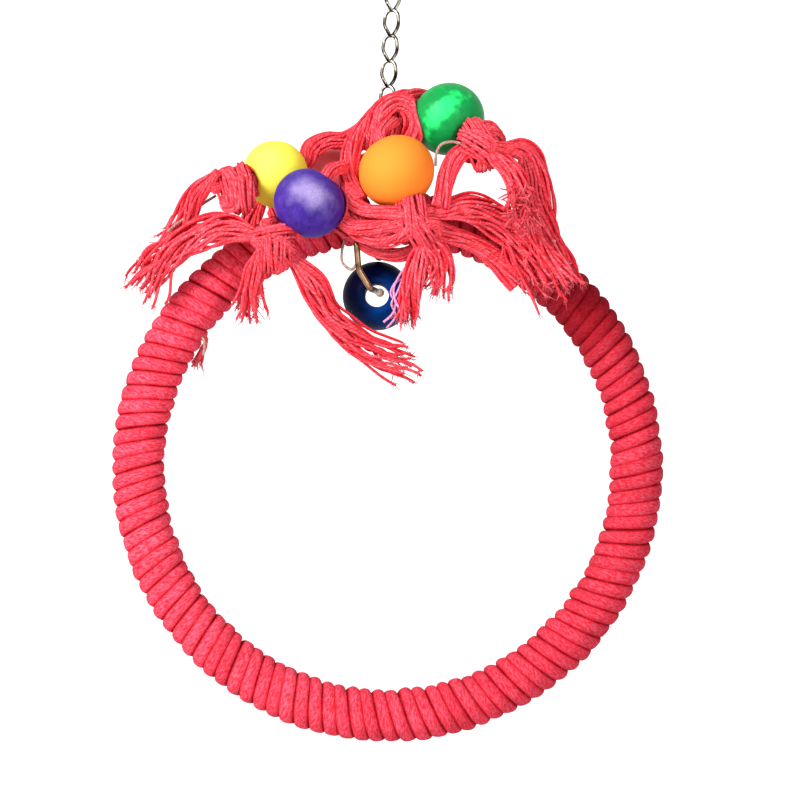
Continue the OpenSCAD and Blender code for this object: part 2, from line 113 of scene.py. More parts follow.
def smooth_line(points: Points, spacing: float) -> tuple[np.ndarray, np.ndarray]:
    """A smooth line through points, cut into even steps.

    Each stretch is a cubic in length. Its slope at a point is the mean of the slopes on both
    sides, each weighed by the length of the other side.

    Args:
        points: points that the line passes through, in millimetres.
        spacing: length of a step, in millimetres.

    Returns:
        The line's points, and for each the fractional index of the given point it lies at.
    """
    p = np.asarray(points, float)
    gap = np.linalg.norm(np.diff(p, axis=0), axis=1)[:, None]
    slope = np.diff(p, axis=0) / gap
    inner = (slope[:-1] * gap[1:] + slope[1:] * gap[:-1]) / (gap[:-1] + gap[1:])
    m = np.concatenate([slope[:1], inner, slope[-1:]])
    last = len(p) - 1
    fine = np.linspace(0, last, last * 24 + 1)
    i = np.minimum(fine.astype(int), last - 1)
    t = (fine - i)[:, None]
    h = gap[i]
    line = ((2 * t**3 - 3 * t**2 + 1) * p[i] + (t**3 - 2 * t**2 + t) * h * m[i]
            + (3 * t**2 - 2 * t**3) * p[i + 1] + (t**3 - t**2) * h * m[i + 1])
    run = np.concatenate([[0], np.cumsum(np.linalg.norm(np.diff(line, axis=0), axis=1))])
    even = np.linspace(0, run[-1], max(int(round(run[-1] / spacing)), 2) + 1)
    cut = np.stack([np.interp(even, run, line[:, k]) for k in range(3)], axis=1)
    return cut, np.interp(even, run, fine)


def blur(values: np.ndarray, passes: int) -> np.ndarray:
    """Rows averaged with their neighbours: half of each row and a quarter of the next ones.

    Args:
        values: the rows, of which the first and the last are kept.
        passes: how many times they are averaged.

    Returns:
        The averaged rows.
    """
    out = values.copy()
    for _ in range(passes):
        out[1:-1] = 0.25 * out[:-2] + 0.5 * out[1:-1] + 0.25 * out[2:]
    return out


@dataclass
class Mesh:
    """A mesh under construction, in millimetres, with its UV map and point attributes."""

    name: str
    points: list[np.ndarray] = field(default_factory=list)
    faces: list[np.ndarray] = field(default_factory=list)
    uvs: list[np.ndarray] = field(default_factory=list)
    marks: dict[str, list[np.ndarray]] = field(default_factory=dict)
    count: int = 0

    def add_tubes(self, rings: np.ndarray, run: np.ndarray, closed: bool = False,
                  **marks: np.ndarray) -> None:
        """Adds tubes whose walls join ring to ring and whose ends are closed by a fan.

        Args:
            rings: points, shaped tubes by rings by sides by 3.
            run: length along each tube at each ring, shaped tubes by rings.
            closed: whether the last ring joins the first again.
            marks: point attributes, each shaped tubes by rings or tubes by rings by sides.
        """
        tubes, length, sides, _ = rings.shape
        index = self.count + np.arange(tubes * length * sides).reshape(tubes, length, sides)
        ahead = np.roll(index, -1, axis=1) if closed else index[:, 1:]
        here = index if closed else index[:, :-1]
        quads = np.stack([here, np.roll(here, -1, 2), np.roll(ahead, -1, 2), ahead], axis=-1)
        self.points.append(rings.reshape(-1, 3))
        self.faces.append(quads.reshape(-1, 4))
        start = run if closed else run[:, :-1]
        stop = np.concatenate([run[:, 1:], run[:, -1:] + (run[:, 1:2] - run[:, :1])], 1)
        stop = stop if closed else run[:, 1:]
        v = np.arange(sides + 1) / sides
        u0, u1 = (np.broadcast_to(r[:, :, None], (*r.shape, sides)) for r in (start, stop))
        v0, v1 = (np.broadcast_to(w, u0.shape) for w in (v[:-1], v[1:]))
        corners = np.stack([np.stack([u0, v0], -1), np.stack([u0, v1], -1),
                            np.stack([u1, v1], -1), np.stack([u1, v0], -1)], axis=-2)
        self.uvs.append(corners.reshape(-1, 2))
        for name, value in marks.items():
            full = value if value.ndim == 3 else np.broadcast_to(value[..., None], index.shape)
            self.marks.setdefault(name, []).append(full.reshape(-1))
        self.count += rings.shape[0] * length * sides
        if not closed:
            for end, order in ((0, -1), (length - 1, 1)):
                self._close(rings[:, end], index[:, end], run[:, end], order,
                            {n: m[:, end].mean(-1) if m.ndim == 3 else m[:, end]
                             for n, m in marks.items()})

    def _close(self, loops: np.ndarray, index: np.ndarray, run: np.ndarray, order: int,
               marks: dict[str, np.ndarray]) -> None:
        """Closes one end of each tube with a fan round its middle point.

        Args:
            loops: the rings at that end, shaped tubes by sides by 3.
            index: the rings' point numbers, shaped tubes by sides.
            run: length along each tube at that end.
            order: 1 at the last ring or -1 at the first, so that the fan faces outwards.
            marks: point attributes of the middle points, one for each tube.
        """
        tubes, sides = index.shape
        hubs = self.count + np.arange(tubes)
        self.points.append(loops.mean(axis=1))
        turned = np.roll(index, -1, 1)
        first, second = (index, turned) if order > 0 else (turned, index)
        hub = np.broadcast_to(hubs[:, None], index.shape)
        fan = np.stack([first, second, hub, hub], axis=-1)
        self.faces.append(fan.reshape(-1, 4))
        flat = np.stack([np.broadcast_to(run[:, None], index.shape),
                         np.broadcast_to(np.arange(sides) / sides, index.shape)], -1)
        self.uvs.append(np.repeat(flat.reshape(-1, 2), 4, axis=0))
        for name, value in marks.items():
            self.marks[name].append(value)
        self.count += tubes

    def build(self, material: bpy.types.Material) -> bpy.types.Object:
        """The finished object, smooth shaded, with its place in its mesh.

        Args:
            material: the material of every face.

        Returns:
            The object, linked to the scene.
        """
        points = np.concatenate(self.points) * MM
        quads = np.concatenate(self.faces)
        uv = np.concatenate(self.uvs).reshape(-1, 4, 2)
        is_fan = quads[:, 2] == quads[:, 3]
        sizes = np.where(is_fan, 3, 4)
        keep = np.arange(4)[None, :] < sizes[:, None]
        starts = np.concatenate([[0], np.cumsum(sizes)[:-1]])
        data = bpy.data.meshes.new(self.name)
        data.vertices.add(len(points))
        data.vertices.foreach_set("co", points.astype(np.float32).ravel())
        data.loops.add(int(sizes.sum()))
        data.loops.foreach_set("vertex_index", quads[keep].astype(np.int32))
        data.polygons.add(len(quads))
        data.polygons.foreach_set("loop_start", starts.astype(np.int32))
        data.polygons.foreach_set("loop_total", sizes.astype(np.int32))
        layer = data.uv_layers.new(name=RUN_MAP)
        layer.data.foreach_set("uv", uv[keep].astype(np.float32).ravel())
        for name, values in self.marks.items():
            mark = data.attributes.new(name, "FLOAT", "POINT")
            mark.data.foreach_set("value", np.concatenate(values).astype(np.float32))
        data.update(calc_edges=True)
        data.validate()
        data.shade_smooth()
        data.materials.append(material)
        thing = bpy.data.objects.new(self.name, data)
        bpy.context.scene.collection.objects.link(thing)
        return thing


def tube_rings(lines: np.ndarray, sideways: np.ndarray, radii: np.ndarray,
               sides: int) -> np.ndarray:
    """Rings of points round lines.

    A ring's point at turn a lies at the line plus the radius times (cos a times the sideways
    direction, squared to the line, plus sin a times the direction square to both).

    Args:
        lines: shaped tubes by rings by 3.
        sideways: rough sideways directions, shaped like lines.
        radii: shaped tubes by rings, or tubes by rings by sides.
        sides: points in a ring.

    Returns:
        Points shaped tubes by rings by sides by 3.
    """
    along = unit(np.gradient(lines, axis=1))
    n = unit(sideways - (sideways * along).sum(-1, keepdims=True) * along)
    b = np.cross(along, n)
    turn = 2 * np.pi * np.arange(sides) / sides
    r = radii[..., None, None] if radii.ndim == 2 else radii[..., None]
    return lines[:, :, None] + r * (np.cos(turn)[:, None] * n[:, :, None]
                                    + np.sin(turn)[:, None] * b[:, :, None])


class Nodes:
    """A small helper that adds shader nodes and links to one tree."""

    def __init__(self, tree: bpy.types.NodeTree) -> None:
        """Keeps the tree."""
        self.tree = tree

    def add(self, kind: str, **values: object) -> bpy.types.Node:
        """Adds a node and sets its properties, or its inputs where a name is an input's.

        Args:
            kind: the node's type name.
            values: properties, or inputs with spaces written as underscores.

        Returns:
            The node.
        """
        node = self.tree.nodes.new(kind)
        properties = [name for name in values if hasattr(node, name)]
        for name in properties:
            setattr(node, name, values.pop(name))
        self.feed(node, **values)
        return node

    def feed(self, node: bpy.types.Node, **values: object) -> None:
        """Links or sets a node's inputs.

        Args:
            node: the node.
            values: sockets or plain values by input name, with spaces written as underscores.
        """
        for name, value in values.items():
            self.give(node.inputs[name.replace("_", " ")], value)

    def give(self, socket: bpy.types.NodeSocket, value: object) -> None:
        """Links one input to a socket, or sets it where a plain value is given.

        Args:
            socket: the input.
            value: an output socket or a plain value.
        """
        if isinstance(value, bpy.types.NodeSocket):
            self.tree.links.new(value, socket)
        else:
            socket.default_value = value

    def group(self, tree: bpy.types.NodeTree, **values: object) -> bpy.types.Node:
        """Adds a shared node group.

        Args:
            tree: the group.
            values: sockets or plain values for its inputs.

        Returns:
            The node.
        """
        node = self.add("ShaderNodeGroup", node_tree=tree)
        self.feed(node, **values)
        return node

    def mark(self, name: str) -> bpy.types.NodeSocket:
        """The value of a point attribute."""
        return self.add("ShaderNodeAttribute", attribute_name=name).outputs["Fac"]

    def object_place(self) -> bpy.types.NodeSocket:
        """The place of a point of the surface in object coordinates."""
        return self.add("ShaderNodeTexCoord").outputs["Object"]

    def math(self, operation: str, *values: object) -> bpy.types.NodeSocket:
        """Adds a Math node.

        Args:
            operation: what it does.
            values: sockets or numbers, in the order of its inputs.

        Returns:
            Its output.
        """
        node = self.tree.nodes.new("ShaderNodeMath")
        node.operation = operation
        for socket, value in zip(node.inputs, values):
            self.give(socket, value)
        return node.outputs[0]

    def mix(self, share: object, first: object, second: object) -> bpy.types.NodeSocket:
        """Adds a colour mix.

        Args:
            share: how much of the second colour there is, a socket or a number.
            first: a socket or a colour.
            second: a socket or a colour.

        Returns:
            Its output.
        """
        node = self.tree.nodes.new("ShaderNodeMix")
        node.data_type = "RGBA"
        for number, value in ((0, share), (6, first), (7, second)):
            self.give(node.inputs[number], value)
        return node.outputs[2]

    def ramp(self, value: bpy.types.NodeSocket, low: float, high: float) -> bpy.types.NodeSocket:
        """Adds a smooth ramp.

        Args:
            value: the socket that it reads.
            low: the value where it is 0.
            high: the value where it is 1.

        Returns:
            Its output.
        """
        node = self.add("ShaderNodeMapRange", interpolation_type="SMOOTHSTEP", Value=value,
                        From_Min=low, From_Max=high)
        return node.outputs["Result"]

    def relief(self, shader: bpy.types.Node, height: bpy.types.NodeSocket,
               distance: float = MM, strength: float = 1.0) -> None:
        """Gives a shader a bumpy normal.

        Args:
            shader: the shader.
            height: the height map.
            distance: how high a height of 1 is, in metres.
            strength: share of the effect.
        """
        bump = self.add("ShaderNodeBump", Strength=strength, Distance=distance, Height=height)
        self.give(shader.inputs["Normal"], bump.outputs[0])


def new_group(name: str, inputs: dict[str, tuple[str, object]],
              outputs: dict[str, str]) -> tuple[bpy.types.NodeTree, Nodes, bpy.types.Node]:
    """A shader node group with named sockets.

    Args:
        name: the group's name.
        inputs: socket name to its type and default value.
        outputs: socket name to its type.

    Returns:
        The group, a node helper for it and its input node.
    """
    group = bpy.data.node_groups.new(name, "ShaderNodeTree")
    for key, (kind, value) in inputs.items():
        socket = group.interface.new_socket(key, in_out="INPUT", socket_type=kind)
        if value is not None:
            socket.default_value = value
    for key, kind in outputs.items():
        group.interface.new_socket(key, in_out="OUTPUT", socket_type=kind)
    nodes = Nodes(group)
    return group, nodes, nodes.add("NodeGroupInput")


class SharedEffects:
    """Node groups that several finishes use."""

    def __init__(self) -> None:
        """Builds each group once."""
        self.fibres = self._fibres()
        self.grain = self._grain()
        self.handling = self._handling()

    @staticmethod
    def _fibres() -> bpy.types.NodeTree:
        """Twisted fibres along a yarn: fine streaks that slant across its length.

        The UV map holds the length in millimetres and the turn. A streak follows the turn plus the
        length over the lay, so that it winds round the yarn.

        Returns:
            The group.
        """
        group, n, given = new_group(
            "twisted_fibres",
            {"Run": ("NodeSocketVector", None), "Lay": ("NodeSocketFloat", 5.0),
             "Streaks": ("NodeSocketFloat", 14.0), "Length": ("NodeSocketFloat", 0.35)},
            {"Streak": "NodeSocketFloat", "Ply": "NodeSocketFloat", "Patch": "NodeSocketFloat"})
        parts = n.add("ShaderNodeSeparateXYZ", Vector=given.outputs["Run"])
        slant = n.math("DIVIDE", parts.outputs[0], given.outputs["Lay"])
        turn = n.math("ADD", parts.outputs[1], slant)
        angle = n.math("MULTIPLY", turn, 2 * math.pi)
        round_x = n.math("COSINE", angle)
        round_y = n.math("SINE", angle)
        along = n.math("MULTIPLY", parts.outputs[0], given.outputs["Length"])
        place = n.add("ShaderNodeCombineXYZ", X=round_x, Y=round_y, Z=along)
        spread = n.math("DIVIDE", given.outputs["Streaks"], 4.0)
        streak = n.add("ShaderNodeTexNoise", Vector=place.outputs[0], Scale=spread, Detail=3.0,
                       Roughness=0.65)
        ply_turn = n.math("MULTIPLY", angle, 2.0)
        ply = n.math("MULTIPLY_ADD", n.math("COSINE", ply_turn), 0.5, 0.5)
        patch = n.add("ShaderNodeTexNoise", Vector=place.outputs[0], Scale=0.35, Detail=1.0)
        n.add("NodeGroupOutput", Streak=streak.outputs["Fac"], Ply=ply,
              Patch=patch.outputs["Fac"])
        return group

    @staticmethod
    def _grain() -> bpy.types.NodeTree:
        """Grain of turned wood: noise drawn out along one direction, with fine pores.

        Returns:
            The group.
        """
        group, n, given = new_group(
            "wood_grain",
            {"Place": ("NodeSocketVector", None), "Scale": ("NodeSocketFloat", 120.0)},
            {"Grain": "NodeSocketFloat", "Pores": "NodeSocketFloat"})
        drawn = n.add("ShaderNodeMapping", Vector=given.outputs["Place"],
                      Scale=(0.16, 1.0, 1.0))
        grain = n.add("ShaderNodeTexNoise", Vector=drawn.outputs[0], Detail=4.0,
                      Roughness=0.6, Scale=given.outputs["Scale"])
        fine = n.math("MULTIPLY", given.outputs["Scale"], 7.0)
        pores = n.add("ShaderNodeTexNoise", Vector=drawn.outputs[0], Detail=2.0, Scale=fine)
        n.add("NodeGroupOutput", Grain=grain.outputs["Fac"], Pores=pores.outputs["Fac"])
        return group

    @staticmethod
    def _handling() -> bpy.types.NodeTree:
        """Uneven polish from handling: broad soft spots and fine specks.

        Returns:
            The group.
        """
        group, n, given = new_group(
            "handling",
            {"Place": ("NodeSocketVector", None), "Scale": ("NodeSocketFloat", 60.0)},
            {"Spots": "NodeSocketFloat", "Specks": "NodeSocketFloat"})
        spots = n.add("ShaderNodeTexNoise", Vector=given.outputs["Place"], Detail=3.0,
                      Scale=given.outputs["Scale"])
        fine = n.math("MULTIPLY", given.outputs["Scale"], 12.0)
        specks = n.add("ShaderNodeTexNoise", Vector=given.outputs["Place"], Detail=2.0,
                       Scale=fine)
        n.add("NodeGroupOutput", Spots=spots.outputs["Fac"], Specks=specks.outputs["Fac"])
        return group


def new_material(name: str) -> tuple[bpy.types.Material, Nodes, bpy.types.Node]:
    """A material with a Principled shader.

    Args:
        name: the material's name.

    Returns:
        The material, a node helper for it and its shader.
    """
    material = bpy.data.materials.new(name)
    material.use_nodes = True
    material.node_tree.nodes.clear()
    n = Nodes(material.node_tree)
    shader = n.add("ShaderNodeBsdfPrincipled")
    n.add("ShaderNodeOutputMaterial", Surface=shader.outputs[0])
    return material, n, shader


@dataclass(frozen=True)
class CottonFinish:
    """Dyed cotton yarn. Its colour is painted from shade in crevices to a highlight on crowns,
    and fibres streak it.
    """

    name: str
    # deep: painted shade colour, also of darker random patches; crown: painted highlight colour
    deep: tuple[float, ...]
    body: tuple[float, ...]
    crown: tuple[float, ...]
    lay: float
    streaks: float
    ply_depth: float
    fibre_depth: float
    drawn: float = 0.35
    patchy: float = 0.35
    dusty: float = 0.12
    rough: float = 0.92
    gloss: float = 0.06
    sheen: float = 0.1
    sheen_rough: float = 0.45

    def make(self, effects: SharedEffects) -> bpy.types.Material:
        """The material, whose pattern follows the yarn's own UV map.

        Args:
            effects: the shared node groups.

        Returns:
            The material.
        """
        material, n, shader = new_material(self.name)
        uv = n.add("ShaderNodeUVMap", uv_map=RUN_MAP)
        fibres = n.group(effects.fibres, Run=uv.outputs[0], Lay=self.lay, Streaks=self.streaks,
                         Length=self.drawn)
        fuzz = n.group(effects.handling, Place=n.object_place(), Scale=160.0)
        rise, tone, dye = n.mark("rise"), n.mark("tone"), n.mark("dye")
        streak = n.ramp(fibres.outputs["Streak"], 0.36, 0.66)
        # Painted light: where the rise is low the colour is painted towards the deep one as
        # crevice and groove shade; where it is high, fibre streaks are painted in the crown colour
        # as a highlight.
        colour = n.mix(n.ramp(rise, 0.0, 0.55), self.deep, self.body)
        share = n.math("MULTIPLY", n.ramp(rise, 0.35, 1.0), streak)
        share = n.math("MULTIPLY", share, n.math("MULTIPLY_ADD", tone, 0.7, 0.55))
        colour = n.mix(share, colour, self.crown)
        patch = n.math("MULTIPLY", n.ramp(fibres.outputs["Patch"], 0.42, 0.7), self.patchy)
        colour = n.mix(patch, colour, self.deep)
        dust = n.math("MULTIPLY", n.ramp(fuzz.outputs["Specks"], 0.5, 0.72), self.dusty)
        # The ring's even tint and its painted shade and shadow mix the colour towards the deep
        # one.
        colour = n.mix(dye, n.mix(dust, colour, self.crown), self.deep)
        n.relief(shader, n.math("MULTIPLY_ADD", fibres.outputs["Ply"], self.ply_depth,
                                n.math("MULTIPLY", fibres.outputs["Streak"], self.fibre_depth)))
        n.feed(shader, Base_Color=colour, Roughness=self.rough, Specular_IOR_Level=self.gloss,
               Sheen_Weight=self.sheen, Sheen_Roughness=self.sheen_rough,
               Sheen_Tint=self.crown)
        return material


@dataclass(frozen=True)
class BeadFinish:
    """Paint or stain on a turned wooden bead, with a painted highlight in its pale colour."""

    name: str
    body: tuple[float, ...]
    dark: tuple[float, ...]
    pale: tuple[float, ...]
    grain_share: float
    rough: float
    gloss: float
    blotch: float = 0.3
    highlight_low: float = 0.0
    highlight_high: float = 1.0

    def make(self, effects: SharedEffects) -> bpy.types.Material:
        """The material, whose grain runs along the bead's hole.

        Args:
            effects: the shared node groups.

        Returns:
            The material.
        """
        material, n, shader = new_material(self.name)
        place = n.add("ShaderNodeAttribute", attribute_name="bead_place").outputs["Vector"]
        grain = n.group(effects.grain, Place=place, Scale=0.5)
        wear = n.group(effects.handling, Place=n.object_place(), Scale=280.0)
        streak = n.ramp(grain.outputs["Grain"], 0.35, 0.7)
        colour = n.mix(n.math("MULTIPLY", streak, self.grain_share), self.body, self.dark)
        uneven = n.math("SUBTRACT", wear.outputs["Spots"], 0.5)
        # The pale colour is painted in as a highlight where the highlight mark is high, broken by
        # random mottle that also pales it elsewhere.
        broken = n.math("MULTIPLY_ADD", uneven, self.blotch, n.mark("painted_highlight"))
        speck = n.math("MULTIPLY_ADD", n.ramp(wear.outputs["Specks"], 0.3, 0.7), 0.5, 0.6)
        patch = n.math("MULTIPLY", n.ramp(broken, self.highlight_low, self.highlight_high), speck)
        rough = n.math("MULTIPLY_ADD", wear.outputs["Specks"], 0.12, self.rough)
        n.relief(shader, n.math("MULTIPLY_ADD", grain.outputs["Grain"], 0.05,
                                n.math("MULTIPLY", wear.outputs["Specks"], 0.02)))
        n.feed(shader, Base_Color=n.mix(patch, colour, self.pale), Roughness=rough,
               Specular_IOR_Level=self.gloss)
        return material


@dataclass(frozen=True)
class MetalFinish:
    """Plated steel wire with uneven polish."""

    name: str
    body: tuple[float, ...]
    # A darker colour for worn spots, and for the painted shade on a chain wire's sides
    wear_and_edge_shade: tuple[float, ...]
    rough: float
    # How much painted shade darkens the wire's sides
    painted_edge_shade: float = 0.0

    def make(self, effects: SharedEffects) -> bpy.types.Material:
        """The material, patterned in object coordinates.

        With painted edge shade, the wire's sides that point away from the link's middle and
        towards it are painted dark by the square of the cosine of the turn round the wire, as
        shade, and its flats are not darkened.

        Args:
            effects: the shared node groups.

        Returns:
            The material.
        """
        material, n, shader = new_material(self.name)
        wear = n.group(effects.handling, Place=n.object_place(), Scale=260.0)
        colour = n.mix(n.ramp(wear.outputs["Spots"], 0.42, 0.68), self.body, self.wear_and_edge_shade)
        # Painted shade: the wire's sides that point into and out of the link are painted dark.
        if self.painted_edge_shade:
            uv = n.add("ShaderNodeUVMap", uv_map=RUN_MAP).outputs[0]
            turn = n.add("ShaderNodeSeparateXYZ", Vector=uv).outputs[1]
            aside = n.math("COSINE", n.math("MULTIPLY", turn, 2 * math.pi))
            share = n.math("MULTIPLY", n.ramp(n.math("MULTIPLY", aside, aside), 0.05, 0.6),
                           self.painted_edge_shade)
            colour = n.mix(share, colour, self.wear_and_edge_shade)
        rough = n.math("MULTIPLY_ADD", wear.outputs["Spots"], 0.22, self.rough)
        n.relief(shader, wear.outputs["Specks"], 0.05 * MM, 0.4)
        n.feed(shader, Base_Color=colour, Roughness=rough, Metallic=1.0)
        return material


@dataclass(frozen=True)
class CladFinish:
    """Plain wood or rattan that is seen only through gaps in a winding."""

    name: str
    body: tuple[float, ...]
    dark: tuple[float, ...]

    def make(self, effects: SharedEffects) -> bpy.types.Material:
        """The material, patterned in object coordinates.

        Args:
            effects: the shared node groups.

        Returns:
            The material.
        """
        material, n, shader = new_material(self.name)
        grain = n.group(effects.grain, Place=n.object_place(), Scale=400.0)
        n.relief(shader, grain.outputs["Pores"], 0.2 * MM, 0.5)
        n.feed(shader, Base_Color=n.mix(grain.outputs["Grain"], self.body, self.dark),
               Roughness=0.7)
        return material


class Finishes:
    """Every material of the swing, made once."""

    def __init__(self) -> None:
        """Makes the materials."""
        effects = SharedEffects()
        # Cotton colours: deep, the painted shade of crevices, grooves and the ring's shadow, and
        # of darker random patches; body, the yarn's own; crown, the painted highlight of its
        # crowns.
        rope = CottonFinish("wound_rope", srgb(132, 1, 12), srgb(244, 38, 58),
                            srgb(255, 106, 130), lay=60.0, streaks=20.0, ply_depth=0.0,
                            fibre_depth=0.5, drawn=0.16, patchy=0.22, dusty=0.3)
        yarn = CottonFinish("cotton_yarn", srgb(196, 4, 18), srgb(250, 40, 58),
                            srgb(255, 130, 144), lay=3.4, streaks=7.0, ply_depth=0.16,
                            fibre_depth=0.2)
        faded = CottonFinish("faded_thread", srgb(150, 70, 120), srgb(214, 140, 190),
                             srgb(240, 190, 226), lay=3.0, streaks=6.0, ply_depth=0.1,
                             fibre_depth=0.12)
        bare = CottonFinish("bare_thread", srgb(84, 46, 38), srgb(158, 112, 98),
                            srgb(222, 200, 190), lay=2.4, streaks=6.0, ply_depth=0.1,
                            fibre_depth=0.1)
        self.rope = rope.make(effects)
        self.yarn = yarn.make(effects)
        self.faded = faded.make(effects)
        self.bare = bare.make(effects)
        # Each bead's colours: its own, its grain's, and the pale one of its painted highlight and
        # random mottle.
        self.beads = {
            bead.name: bead.make(effects) for bead in (
                BeadFinish("yellow_paint", srgb(254, 246, 74), srgb(252, 236, 60),
                           srgb(255, 252, 104), grain_share=0.3, rough=0.6, gloss=0.1),
                BeadFinish("purple_stain", srgb(70, 40, 150), srgb(44, 20, 108),
                           srgb(168, 150, 202), grain_share=0.7, rough=0.5, gloss=0.12,
                           blotch=0.7, highlight_high=1.1),
                BeadFinish("orange_paint", srgb(250, 142, 46), srgb(248, 136, 40),
                           srgb(252, 148, 52), grain_share=0.3, rough=0.65, gloss=0.1),
                BeadFinish("green_stain", srgb(0, 156, 72), srgb(0, 128, 58),
                           srgb(44, 248, 124), grain_share=0.6, rough=0.42, gloss=0.2,
                           blotch=1.5, highlight_low=0.15, highlight_high=0.75),
                BeadFinish("red_paint", srgb(253, 112, 122), srgb(244, 98, 110),
                           srgb(255, 126, 134), grain_share=0.3, rough=0.6, gloss=0.1),
                BeadFinish("blue_stain", srgb(0, 8, 44), srgb(0, 3, 22), srgb(0, 58, 132),
                           grain_share=0.4, rough=0.42, gloss=0.04, highlight_low=0.25,
                           highlight_high=0.8))}
        # The chain's dark colour is that of its worn spots and of the painted shade on its wires'
        # sides.
        chain = MetalFinish("nickel_chain", srgb(196, 188, 172), srgb(30, 21, 14), rough=0.16,
                            painted_edge_shade=1.0)
        zinc = MetalFinish("zinc_plate", srgb(180, 184, 190), srgb(118, 122, 130), rough=0.24)
        wire = MetalFinish("aged_wire", srgb(150, 120, 86), srgb(52, 36, 22), rough=0.2)
        rattan = CladFinish("bare_rattan", srgb(196, 158, 108), srgb(150, 112, 70))
        self.chain = chain.make(effects)
        self.zinc = zinc.make(effects)
        self.wire = wire.make(effects)
        self.rattan = rattan.make(effects)


def place_piece(piece: bpy.types.Object, body: str, slot: str, *nodes: str) -> None:
    """Puts a finished piece on its body in place of its CAD nodes, and reports it.

    Args:
        piece: the piece.
        body: the body that it moves with.
        slot: not used.
        nodes: the CAD nodes that it stands in for.
    """
    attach(piece, body)
    if nodes:
        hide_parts(*nodes)
    LOG.info("%s rides on %s, %d faces", piece.name, body, len(piece.data.polygons))


def dress(node: str, material: bpy.types.Material) -> None:
    """Gives a CAD node that stays its material.

    Args:
        node: the node's name.
        material: its material.
    """
    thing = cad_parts[node]
    if not thing.material_slots:
        thing.data.materials.append(material)
    for spot in thing.material_slots:
        spot.material = material
    LOG.info("%s keeps its CAD shape", node)


def hung(points: Points) -> np.ndarray:
    """Points from the ring's top, straight under the chain, as points from the origin."""
    return np.asarray(points, float) + [0, 0, RING_TOP_Z]


def add_hairs(mesh: Mesh, roots: np.ndarray, ways: np.ndarray, lengths: np.ndarray,
              thickness: float, rng: np.random.Generator, tone: float) -> None:
    """Adds fine fibres. A fibre is its root plus t times its way plus t squared times a curl.

    Args:
        mesh: the mesh that they join.
        roots: where they start, in millimetres.
        ways: the unit directions that they start in.
        lengths: their lengths.
        thickness: diameter at the root.
        rng: source of the curls.
        tone: brightness, where 1 is brightest.
    """
    count, steps = len(roots), 4
    t = np.linspace(0, 1, steps)[None, :, None]
    curl = rng.normal(0, HAIR_CURL, (count, 1, 3)) + [0, 0, -HAIR_SAG]
    lines = roots[:, None] + lengths[:, None, None] * (t * ways[:, None] + t**2 * curl)
    radii = np.broadcast_to(thickness / 2 * np.linspace(1, 0.5, steps), (count, steps))
    side = np.broadcast_to(unit(rng.normal(size=(count, 1, 3))), lines.shape)
    run = lengths[:, None] * np.linspace(0, 1, steps)
    # Painted highlight: fibres are marked as fully raised, so they take the crown colour where
    # they streak.
    rise = np.full((count, steps), 1.0)
    mesh.add_tubes(tube_rings(lines, side, radii, HAIR_SIDES), run, rise=rise,
                   tone=np.full_like(rise, tone))


